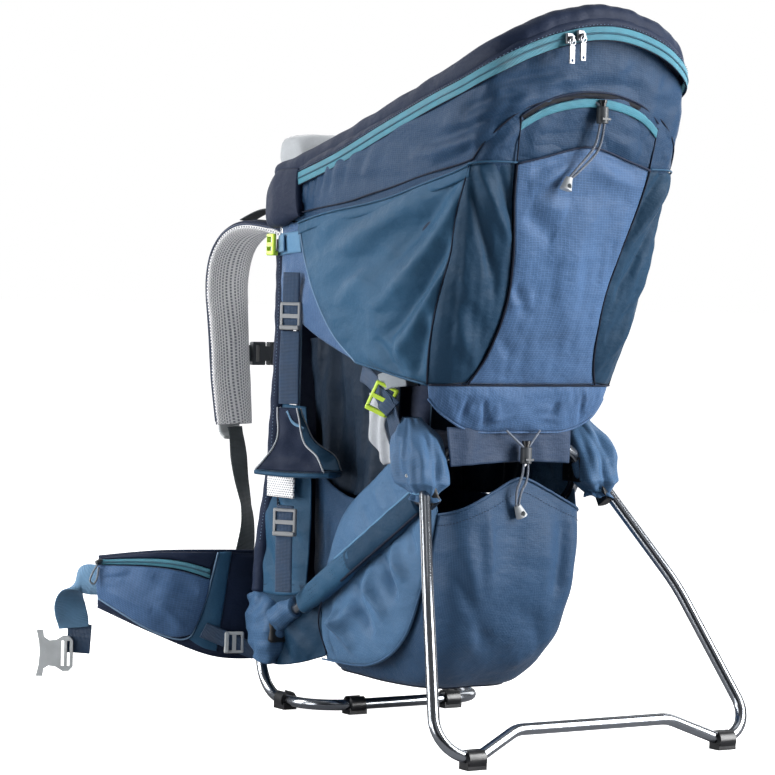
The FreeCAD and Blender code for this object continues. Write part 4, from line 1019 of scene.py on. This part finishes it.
# Navy caps over the frame's top corners, behind the end of the zip.
for side, sgn in SIDES:
    cap = [(-125, 398, 562), (-124, 420, 560), (-121, 444, 555), (-114, 462, 550), (-103, 474, 546)]
    sweep("top_corner_" + side, flip(cap, sgn), (0, -0.22, 1), [26, 29, 31, 28, 20], [4.5, 8, 11, 13, 10],
          navy, n=60, around=34, power=2.6, wobble=0.9, wave=40, seed=11)

# Child's shoulder harness inside the cabin.
for side, sgn in SIDES:
    path = flip([(34, 446, 540), (37.4, 440, 470), (44.2, 436, 352)], sgn)
    sweep("harness_pad_" + side, path, (1, 0, 0), [15, 17.5, 17.5, 15], [3.2, 4.6, 4.6, 3.2], grey_cloth,
          n=80, around=24, power=2.8, wobble=0.5, wave=30, seed=7,
          nodes=("child_harness",) if sgn > 0 else ())
    bead("harness_edge_" + side, path + np.array([sgn * 17, 0, 0]), 1.2, thread_dark)

# ---------------------------------------------------------------- shoulder straps

STRAP = [(-50, 478, 508), (-64, 520, 524), (-78, 566, 526), (-85, 600, 506), (-87, 615, 468),
         (-87, 610, 410), (-87, 602, 355), (-86, 594, 302)]
for side, sgn in SIDES:
    path = flip(STRAP, sgn)
    c = line(path, 120)
    out = unit(np.cross(unit(np.gradient(c, axis=0)), [1, 0, 0]))
    if out[60, 1] < 0:
        out = -out
    sweep("shoulder_pad_" + side, c - out * 0.8, (1, 0, 0), [22, 26, 27, 27, 26.5, 25, 25, 23],
          [4.6, 5.6, 5.8, 5.8, 5.8, 5.8, 5.6, 4.6], mesh_grey, n=150, around=36, power=2.7, body="yoke",
          nodes=("shoulder_straps",) if sgn > 0 else (), wobble=0.5, wave=40, seed=13)
    sweep("shoulder_pad_face_" + side, c + out * 3.2, (1, 0, 0), [21, 25, 26, 26, 25.5, 24, 24, 22],
          [2.6, 3.2, 3.4, 3.4, 3.4, 3.4, 3.2, 2.6], navy, n=150, around=30, power=3.2, body="yoke",
          wobble=0.4, wave=36, seed=15)
    widths = np.interp(np.linspace(0, 1, 120), np.linspace(0, 1, 8), [22, 26, 27, 27, 26.5, 25, 25, 23])
    for tag, edge in (("inner", 1), ("outer", -1)):
        rim_pts = c + out * 1.2 + np.array([edge, 0, 0]) * (widths[:, None] - 0.6)
        bead("strap_binding_%s_%s" % (tag, side), rim_pts[1:-1], 1.9, mesh_dark if edge < 0 else
             mesh_grey, body="yoke", n=120)
    daisy = c[30:108] + out[30:108] * 7.0
    sweep("strap_daisy_" + side, daisy, (1, 0, 0), 9, 0.8, navy_strap, n=90, around=12, power=5,
          body="yoke")
    lifter = flip([(-66, 474.5, 534), (-70, 500, 545), (-76, 545, 546), (-82, 584, 534)], sgn)
    sweep("load_lifter_" + side, lifter, (1, 0, 0), 10, 0.8, charcoal, n=60, around=12, power=5,
          body="yoke", nodes=("strap_webbing",) if sgn > 0 else ())
    tail = flip([(-86, 592.5, 299), (-85, 588, 282), (-84, 580, 245), (-84, 562, 195),
                 (-91, 557, 150), (-100, 550, 112)], sgn)
    twist = [(1, 0, 0), (1, 0.1, 0), (1, -0.25, 0), (0.9, 0.5, 0.2), (0.8, -0.55, 0.1), (0.9, -0.3, 0.3)]
    sweep("strap_tail_" + side, tail, flip(np.array(twist, float), sgn), [10, 10, 10, 10, 11, 12], 0.9,
          charcoal, n=120, around=14, power=5, body="yoke", wobble=0.1, wave=30)
    wedge = flip([(-97, 551, 124), (-100, 549, 108), (-103, 546, 92)], sgn)
    sweep("strap_anchor_" + side, wedge, flip([(0.85, -0.4, 0.35)], sgn)[0], [13, 9, 1.5], 1.4,
          charcoal, n=30, around=14, power=4, body="yoke")
    loop = flip([(-86, 601, 316), (-86, 606, 306), (-86, 604, 292), (-86, 596, 286)], sgn)
    sweep("strap_buckle_" + side, loop, (1, 0, 0), [13, 14, 14, 12], [1.6, 2.4, 2.4, 1.8],
          hard["light_grey_plastic"], n=30, around=18, power=3, body="yoke")

sweep("sternum_webbing_long", [(-13.6, 616.5, 382), (30, 617.1, 381.6), (76, 616.5, 382)], (0, 0, 1),
      9.5, 0.9, charcoal, n=50, around=12, power=5, body="sternum", nodes=("sternum_strap",))
sweep("sternum_webbing_short", [(-76, 616.5, 382), (-60, 616.5, 382), (-46.4, 616.5, 382)],
      (0, 0, 1), 9.5, 0.9, charcoal, n=20, around=12, power=5, body="sternum")
for side, sgn in SIDES:
    sweep("sternum_keeper_" + side, flip([(-100, 617.4, 382), (-88, 618.2, 382), (-76, 617.4, 382)], sgn),
          (0, 0, 1), [10, 12, 10], [2.2, 3.0, 2.2], hard["black_plastic"], n=24, around=18, power=3.4,
          body="sternum")

# ---------------------------------------------------------------- hip belt

FIN = [(-97, 510, 0.20, 1, 44, 166, 14), (-150, 520, 0.40, 1, 48, 167, 17),
       (-205, 553, 0.9, 1, 72, 164, 14), (-250, 606, 1.2, 1, 98, 154, 8)]


def fin_face(s, v, lift):
    """A point on the belt wing's outer face; s is 0 to 3 along it, v from bottom to top."""
    row = catmull(np.array(FIN, float), s)
    n = unit(row[..., 2:4])
    xy = row[..., :2] - n * (row[..., 6] / 2 + lift)[..., None]
    z = row[..., 4] + (row[..., 5] - row[..., 4]) * v
    return np.concatenate([xy, z[..., None]], -1)


def belt_panel(name, edges, lift, crown, material, side, sgn, seed, size=(90, 50), folds=(), nodes=()):
    """A sewn panel on the belt wing, crowned between its seams, with its folds."""
    q = coons(*edges, *size)
    u, v = steps(*size)
    bulge = (4 * u * (1 - u)) ** 0.5 * (4 * v * (1 - v)) ** 0.5
    off = lift + crown * bulge + 0.9 * bulge ** 0.5 * ripple(q * [60, 100], 34, seed)
    for a, b, width, depth in folds:
        off = off + bulge ** 0.4 * crease(q * [60, 100], (a[0] * 60, a[1] * 100),
                                          (b[0] * 60, b[1] * 100), width, depth)
    p = fin_face(q[..., 0], q[..., 1], off)
    return skin(name, flip(p, sgn), 1.3, material, body="hip_wing_" + side, nodes=nodes,
                outward=(-sgn * 0.3, -1, 0))


for side, sgn in SIDES:
    wing = "hip_wing_" + side
    belt_panel("hip_wing_cover_" + side, between([(0.1, 0.04), (1.5, 0.03), (2.95, 0.05)],
                                                 [(0.1, 0.97), (1.5, 0.98), (2.95, 0.96)]),
               0.8, 2.0, navy, side, sgn, 3)
    low = [(1.38, 0.16), (1.7, 0.06), (2.2, 0.06), (2.9, 0.22)]
    top = [(1.1, 0.72), (1.6, 0.79), (2.2, 0.82), (2.92, 0.84)]
    near = [(1.38, 0.16), (1.28, 0.3), (1.15, 0.55), (1.1, 0.72)]
    belt_panel("hip_pocket_cloth_" + side, (low, top, near, [(2.9, 0.22), (2.95, 0.5), (2.92, 0.84)]),
               6.0, 7.5, slate, side, sgn, 5, (110, 60),
               (((1.3, 0.6), (2.0, 0.7), 6, -1.6), ((2.0, 0.3), (2.7, 0.4), 7, 1.6),
                ((1.5, 0.2), (1.9, 0.4), 6, 1.4), ((2.3, 0.7), (2.8, 0.6), 5, -1.4)),
               nodes=("hip_pocket_" + side,))
    z_low = [(s, v + 0.015) for s, v in top]
    z_top = [(s, v + 0.10) for s, v in top]
    belt_panel("hip_pocket_zip_" + side, between(z_low, z_top), 6.4, 0.8, teal, side, sgn, 6, (90, 8))
    z_mid = line([(s, v + 0.057) for s, v in top], 60)
    bead("hip_zip_coil_" + side, flip(fin_face(z_mid[:, 0], z_mid[:, 1], np.full(60, 7.6)), sgn), 0.9,
         teal_dark, body=wing)
    top2 = [(0.95, 0.98), (1.6, 0.985), (2.3, 0.985), (2.9, 0.97)]
    belt_panel("hip_pocket_roof_" + side, between(z_top, top2), 3.2, 3.6, navy, side, sgn, 7, (80, 14))
    loop_q = line([(0.97, 0.98), (1.08, 0.72), (1.15, 0.55), (1.3, 0.28), (1.42, 0.12), (1.7, 0.045),
                   (2.2, 0.05), (2.9, 0.2)], 90)
    bead("hip_pocket_piping_" + side, flip(fin_face(loop_q[:, 0], loop_q[:, 1], np.full(90, 5.0)), sgn),
         1.0, thread_blue, body=wing)
    belt_panel("hip_pocket_gore_" + side, ([(0.95, 0.06), (1.2, 0.04), (1.42, 0.06)],
                                           [(0.72, 0.985), (0.85, 0.985), (0.97, 0.98)],
                                           [(0.95, 0.06), (0.84, 0.5), (0.72, 0.985)],
                                           [(1.42, 0.1), (1.15, 0.55), (0.97, 0.98)]),
               3.0, 3.0, petrol, side, sgn, 8, (30, 50))
    for tag, v_at, lift in (("top", 0.985, -2.0), ("base", 0.02, -2.0)):
        e = line([(0.1, v_at), (1.5, v_at), (2.95, v_at)], 80)
        bead("hip_wing_binding_%s_%s" % (tag, side),
             flip(fin_face(e[:, 0], e[:, 1], np.full(80, lift)), sgn), 2.2, navy, body=wing)
    p = fin_face(np.array([2.86]), np.array([0.9]), np.array([8.5]))[0]
    pull = [p, p + [-4, -2, -4], p + [-9, -2, -12], p + [-12, -2, -20], p + [-7, -2, -24],
            p + [-3, -2, -17], p + [-1, -1, -6]]
    bead("hip_zip_cord_" + side, flip(pull, sgn), 1.1, pale_strap, body=wing, n=50)
    sweep("hip_zip_puller_" + side, flip([p + [3, 0, 1], p + [-4, -1, -1]], sgn), (0, 0, 1), 3.0, 2.4,
          hard["dark_grey_plastic"], n=10, around=14, body=wing)
    # Wide belt webbing: out of the wing, over the top and down to the buckle.
    belt = [(-243, 602, 124), (-252, 613, 127), (-261, 625, 127), (-267, 633, 118), (-269, 637, 102),
            (-267, 638, 90), (-264, 638, 80), (-262, 639, 71)]
    belt_across = [(0, 0, 1), (0.15, 0.1, 1), (0.45, 0.25, 0.8), (0.75, 0.15, 0.5), (0.85, -0.25, 0.28),
                   (0.84, -0.45, 0.12), (0.84, -0.54, 0.04), (0.84, -0.545, 0)]
    sweep("hip_webbing_face_" + side, flip(belt, sgn), flip(np.array(belt_across, float), sgn),
          [14, 17, 18, 18.5, 18.5, 18.5, 18, 17], 1.1, blue_strap, n=110, around=18, power=5,
          body=wing, nodes=("hip_webbing_" + side,), wobble=0.15, wave=30)
    under = [(-267, 644, 59), (-261, 640.5, 59), (-253, 635.5, 58.5), (-245, 630, 58)]
    sweep("hip_webbing_tail_" + side, flip(under, sgn), flip([(0.08, 0, 1)], sgn)[0], 16.5, 1.8,
          navy_strap, n=60, around=16, power=5, body=wing)
    strap = [(-168, 510, 79), (-166, 509, 78), (-150, 502.5, 71), (-121, 491, 58), (-114, 488, 55)]
    sweep("stabiliser_webbing_" + side, flip(strap, sgn), (0, 0, 1), 9, 1.5, navy_strap, n=70,
          around=12, power=5, body=wing)

# ---------------------------------------------------------------- side straps and foot loops

ACROSS = np.array([0.55, -0.83, 0.0])
for side, sgn in SIDES:
    way = flip(ACROSS[None], sgn)[0]
    sweep("riser_webbing_" + side, flip([(-130, 402, 476), (-130.4, 402, 450), (-130, 402, 415)], sgn),
          way, 10, 0.9, navy_strap, n=40, around=12, power=5,
          nodes=("side_webbing",) if sgn > 0 else ())
    sweep("lower_side_webbing_" + side,
          flip([(-130, 404, 224), (-130.6, 404, 180), (-130, 404, 130)], sgn), way, 10, 0.9,
          navy_strap, n=50, around=12, power=5)
    entry = [(-120, 272, 373), (-122, 252, 367), (-123, 234, 357), (-122.5, 218, 343),
             (-121, 208, 326), (-119, 204, 312)]
    sweep("entry_webbing_" + side, flip(entry, sgn), flip([(0, -0.55, 0.83)], sgn)[0], 9.5, 0.9,
          navy_strap, n=70, around=12, power=5)
    short = [(-125, 230, 364), (-124, 210, 369), (-120, 188, 372)]
    sweep("entry_pale_webbing_" + side, flip(short, sgn), (0, 0.1, 1), 9.5, 0.9, pale_strap, n=30,
          around=12, power=5)
    threaded = [(-123, 238, 356), (-126, 222, 348), (-123, 206, 338)]
    sweep("entry_lock_webbing_" + side, flip(threaded, sgn), flip([(0.1, 0.55, 0.83)], sgn)[0], 10, 1.2,
          navy_strap, n=30, around=12, power=5)
    lower = [(-121.6, 214, 340), (-121, 206, 322), (-118, 202, 306)]
    sweep("entry_webbing_tail_" + side, flip(lower, sgn), flip([(0, -0.55, 0.83)], sgn)[0], 10, 1.0,
          navy_strap, n=30, around=12, power=5)
    tab = [(-117, 452, 506), (-121, 444, 507), (-124, 430, 508)]
    sweep("bright_adjuster_strap_" + side, flip(tab, sgn), (0, 0, 1), 9.5, 0.9, blue_strap, n=24,
          around=12, power=5)
    body = "foot_loop_" + side
    peak = np.array([-130, 402, 330.0])
    sweep("foot_webbing_" + side, flip([(-130, 402, 413), (-130.5, 402, 372), (-130, 402, 334)], sgn),
          way, [11.5, 12, 12], 0.95, navy_strap, n=60, around=14, power=5, body=body,
          nodes=("stirrup_" + side,))
    out = np.array([0.83, 0.55, 0.0])
    base = np.array([-128, 382, 264.0])
    for tag, face in (("inner", 1), ("outer", -1)):
        tops = [peak + out * face * 3.2 - ACROSS * 12, peak + out * face * 3.2 + ACROSS * 12]
        lows = [base + out * face * 22 - ACROSS * 41, base + out * face * 24,
                base + out * face * 22 + ACROSS * 41]
        near = [lows[0], lows[0] + ACROSS * 11 + [0, 0, 12], (lows[0] + tops[0]) / 2 + ACROSS * 13,
                tops[0]]
        far = [lows[-1], lows[-1] - ACROSS * 9 + [0, 0, 16], (lows[-1] + tops[-1]) / 2 - ACROSS * 9,
               tops[-1]]
        grid = coons(lows, tops, near, far, 40, 50)
        grid = grid + out * (face * 1.2 * ripple(grid, 30, 4))[..., None]
        skin("foot_cheek_%s_%s" % (tag, side), flip(grid, sgn), 1.5, navy if face < 0 else petrol,
             body=body, outward=flip(out[None] * face, sgn)[0])
        bead("foot_edge_%s_%s" % (tag, side), flip(grid[0] + out * face * 0.4, sgn), 1.0, reflective,
             body=body, n=40)
        bead("foot_edge_far_%s_%s" % (tag, side), flip(grid[-1] + out * face * 0.4, sgn), 1.0,
             reflective, body=body, n=40)
    sole = [base - ACROSS * 44 - [0, 0, 3], base - [0, 0, 4.5], base + ACROSS * 44 - [0, 0, 3]]
    sweep("foot_sole_" + side, flip(sole, sgn), flip(out[None], sgn)[0], [19, 24, 25, 24, 17], 3.4,
          petrol, n=60, around=26, power=3.4, body=body, wobble=0.3, wave=30)
    tabpts = [peak + out * -5 + [0, 0, -4], peak + out * -9 + ACROSS * 8 + [0, 0, -16],
              peak + out * -10 + ACROSS * 22 + [0, 0, -24]]
    sweep("foot_tab_" + side, flip(tabpts, sgn), flip(ACROSS[None] * 0.3 + [[0, 0, 1]], sgn)[0],
          [2.5, 3.5, 4.5], 0.8, blue_strap, n=30, around=10, power=4, body=body)

# ---------------------------------------------------------------- pull cords

UPPER_AT = np.array([4, 32.6, 640.0])
LOWER_AT = np.array([3, 146, 293.0])
UPPER_END = np.array([-26, 45, 577.0])
LOWER_END = np.array([-10, 141, 242.0])
TAILS = (
    ("upper_tail_a", 0.0694, [UPPER_AT + [-2.6, 0, -6.5], (0.6, 34, 612), (-12, 40, 594),
                              UPPER_END + [-2.0, 0, -2.5]]),
    ("upper_tail_b", 0.0714, [UPPER_AT + [2.6, 0, -6.5], (6.4, 34.5, 610), (-7, 39, 592),
                              UPPER_END + [1.2, 0, -2.5]]),
    ("lower_tail_a", 0.0512, [LOWER_AT + [-2.6, 0, -6.5], (-3, 142, 272), (-15, 138, 256),
                              LOWER_END + [-1.2, 0, -2.0]]),
    ("lower_tail_b", 0.0523, [LOWER_AT + [2.6, 0, -6.5], (4, 142, 268), (-10, 137, 255),
                              LOWER_END + [1.6, 0, -2.0]]),
)
for node, length, points in TAILS:
    data = bpy.data.curves.new(node + "_cord", "CURVE")
    data.dimensions = "3D"
    data.bevel_depth = 0.0013
    data.bevel_resolution = 4
    spline = data.splines.new("NURBS")
    spline.points.add(len(points) - 1)
    for point, co in zip(spline.points, metres(points)):
        point.co = (*co, 1.0)
    spline.order_u = 3
    spline.use_endpoint_u = True
    spline.resolution_u = 16
    data.materials.append(cord_grey)
    cord_obj = bpy.data.objects.new(node + "_cord", data)
    bpy.context.collection.objects.link(cord_obj)
    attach(cord_obj, PACK)
    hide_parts(node)
    tuple(metres(points)[0])

# Cord running from the hem's eyelets into the lower lock, and from the upper tape into its lock.
for name, pts in (("hem_cord_left", [(-22, 147, 319), (-10, 146, 309), (0.6, 146, 301)]),
                  ("hem_cord_right", [(20, 146, 319), (12, 146, 309), (5.4, 146, 301)]),
                  ("pocket_cord_left", [(-8, 41, 655), (-2, 35, 652), (1.4, 32.6, 648)]),
                  ("pocket_cord_right", [(14, 41, 655), (9, 35, 652), (6.6, 32.6, 648)])):
    bead(name, pts, 1.2, cord_grey, n=14)

# ---------------------------------------------------------------- camera, light, floor

YAW, PITCH, ROLL = math.radians(33.0), math.radians(2.0546), math.radians(1.4587)
CAMERA_AT = (-1803.0, -2369.1, 470.6)
ahead = Vector((math.sin(YAW) * math.cos(PITCH), math.cos(YAW) * math.cos(PITCH), -math.sin(PITCH)))
level_right = Vector((math.cos(YAW), -math.sin(YAW), 0.0))
level_up = level_right.cross(ahead)
right = level_right * math.cos(ROLL) + level_up * math.sin(ROLL)
up = level_up * math.cos(ROLL) - level_right * math.sin(ROLL)
camera_data = bpy.data.cameras.new("camera")
camera_data.sensor_width = 36.0
camera_data.lens = 139.35
camera_data.clip_end = 100.0
camera = bpy.data.objects.new("camera", camera_data)
bpy.context.collection.objects.link(camera)
place = Matrix((right, up, -ahead)).transposed().to_4x4()
place.translation = Vector(metres([CAMERA_AT])[0])
camera.matrix_world = place
bpy.context.scene.camera = camera


def softbox(name, at, toward, size, power):
    data = bpy.data.lights.new(name, "AREA")
    data.shape = "RECTANGLE"
    data.size, data.size_y = size
    data.energy = power
    obj = bpy.data.objects.new(name, data)
    bpy.context.collection.objects.link(obj)
    obj.location = at
    obj.rotation_euler = (Vector(toward) - Vector(at)).to_track_quat("-Z", "Y").to_euler()


middle = Vector((-0.05, 0.0, 0.38))
to_camera = -Vector((math.sin(YAW), math.cos(YAW), 0.0))


def around_from_camera(angle, height, distance):
    """A place round the object: angle in degrees to the right of the camera's direction."""
    a = math.radians(angle)
    return middle + (to_camera * math.cos(a) + level_right * math.sin(a)) * distance + Vector(
        (0, 0, height))


softbox("right_box", around_from_camera(72, 0.55, 2.0), middle, (0.8, 1.9), 84)
softbox("left_box", around_from_camera(-84, 0.5, 2.0), middle, (0.8, 1.9), 48)
softbox("back_right", around_from_camera(140, 0.7, 2.2), middle, (0.8, 1.8), 14)
softbox("back_left", around_from_camera(-140, 0.7, 2.2), middle, (0.8, 1.8), 14)
softbox("top_box", middle + Vector((0.1, 0, 2.3)), middle, (1.6, 1.6), 9)
softbox("low_left", around_from_camera(-46, -0.05, 1.5) - level_right * 0.15, middle + Vector(
    metres([(-150, 560, 160)])[0] * 0.8) - Vector((0, 0, 0.38)), (0.6, 0.8), 10)
softbox("front_fill", around_from_camera(18, 1.5, 2.6), middle, (1.2, 1.2), 2)

world = bpy.data.worlds.new("studio")
bpy.context.scene.world = world
world.use_nodes = True
tree = world.node_tree
background = tree.nodes["Background"]
background.inputs["Strength"].default_value = 0.22
where = tree.nodes.new("ShaderNodeTexCoord")
dot = tree.nodes.new("ShaderNodeVectorMath")
dot.operation = "DOT_PRODUCT"
dot.inputs[1].default_value = to_camera
dim = tree.nodes.new("ShaderNodeMapRange")
dim.inputs[1].default_value, dim.inputs[2].default_value = 0.35, 0.93
dim.inputs[3].default_value, dim.inputs[4].default_value = 0.0, 1.0
tone = tree.nodes.new("ShaderNodeMix")
tone.data_type = "RGBA"
tone.inputs[6].default_value = (0.92, 0.95, 1.0, 1)
tone.inputs[7].default_value = (0.05, 0.06, 0.08, 1)
white = tree.nodes.new("ShaderNodeBackground")
white.inputs["Color"].default_value = (1, 1, 1, 1)
path_node = tree.nodes.new("ShaderNodeLightPath")
blend_node = tree.nodes.new("ShaderNodeMixShader")
for a, b in ((where.outputs["Generated"], dot.inputs[0]), (dot.outputs["Value"], dim.inputs[0]),
             (dim.outputs[0], tone.inputs[0]), (tone.outputs[2], background.inputs["Color"]),
             (path_node.outputs["Is Camera Ray"], blend_node.inputs[0]),
             (background.outputs[0], blend_node.inputs[1]), (white.outputs[0], blend_node.inputs[2]),
             (blend_node.outputs[0], tree.nodes["World Output"].inputs[0])):
    tree.links.new(a, b)

floor_mesh = bpy.data.meshes.new("floor")
floor_mesh.from_pydata([(-40, -40, 0), (40, -40, 0), (40, 40, 0), (-40, 40, 0)], [], [(0, 1, 2, 3)])
floor_kit = Nodes("pale_floor", "none")
floor_kit.put(floor_kit.shader, "Base Color",
              floor_kit.mix(floor_kit.noise(floor_kit.where(), 3.0), (0.8, 0.8, 0.8, 1),
                            (0.84, 0.84, 0.84, 1)))
floor_kit.shader.inputs["Roughness"].default_value = 0.9
floor_kit.shader.inputs["Emission Color"].default_value = (1, 1, 1, 1)
floor_kit.shader.inputs["Emission Strength"].default_value = 1.0
dull = floor_kit.add("ShaderNodeBsdfDiffuse", Color=(0.34, 0.34, 0.35, 1))
seen = floor_kit.add("ShaderNodeLightPath")
both_ways = floor_kit.add("ShaderNodeMixShader", i0=seen.outputs["Is Camera Ray"], i1=dull.outputs[0],
                          i2=floor_kit.shader.outputs[0])
floor_kit.tree.links.new(both_ways.outputs[0], floor_kit.tree.nodes["Material Output"].inputs[0])
floor_mesh.materials.append(floor_kit.mat)
floor = bpy.data.objects.new("floor", floor_mesh)
bpy.context.collection.objects.link(floor)
bpy.context.scene.view_settings.view_transform = "Standard"
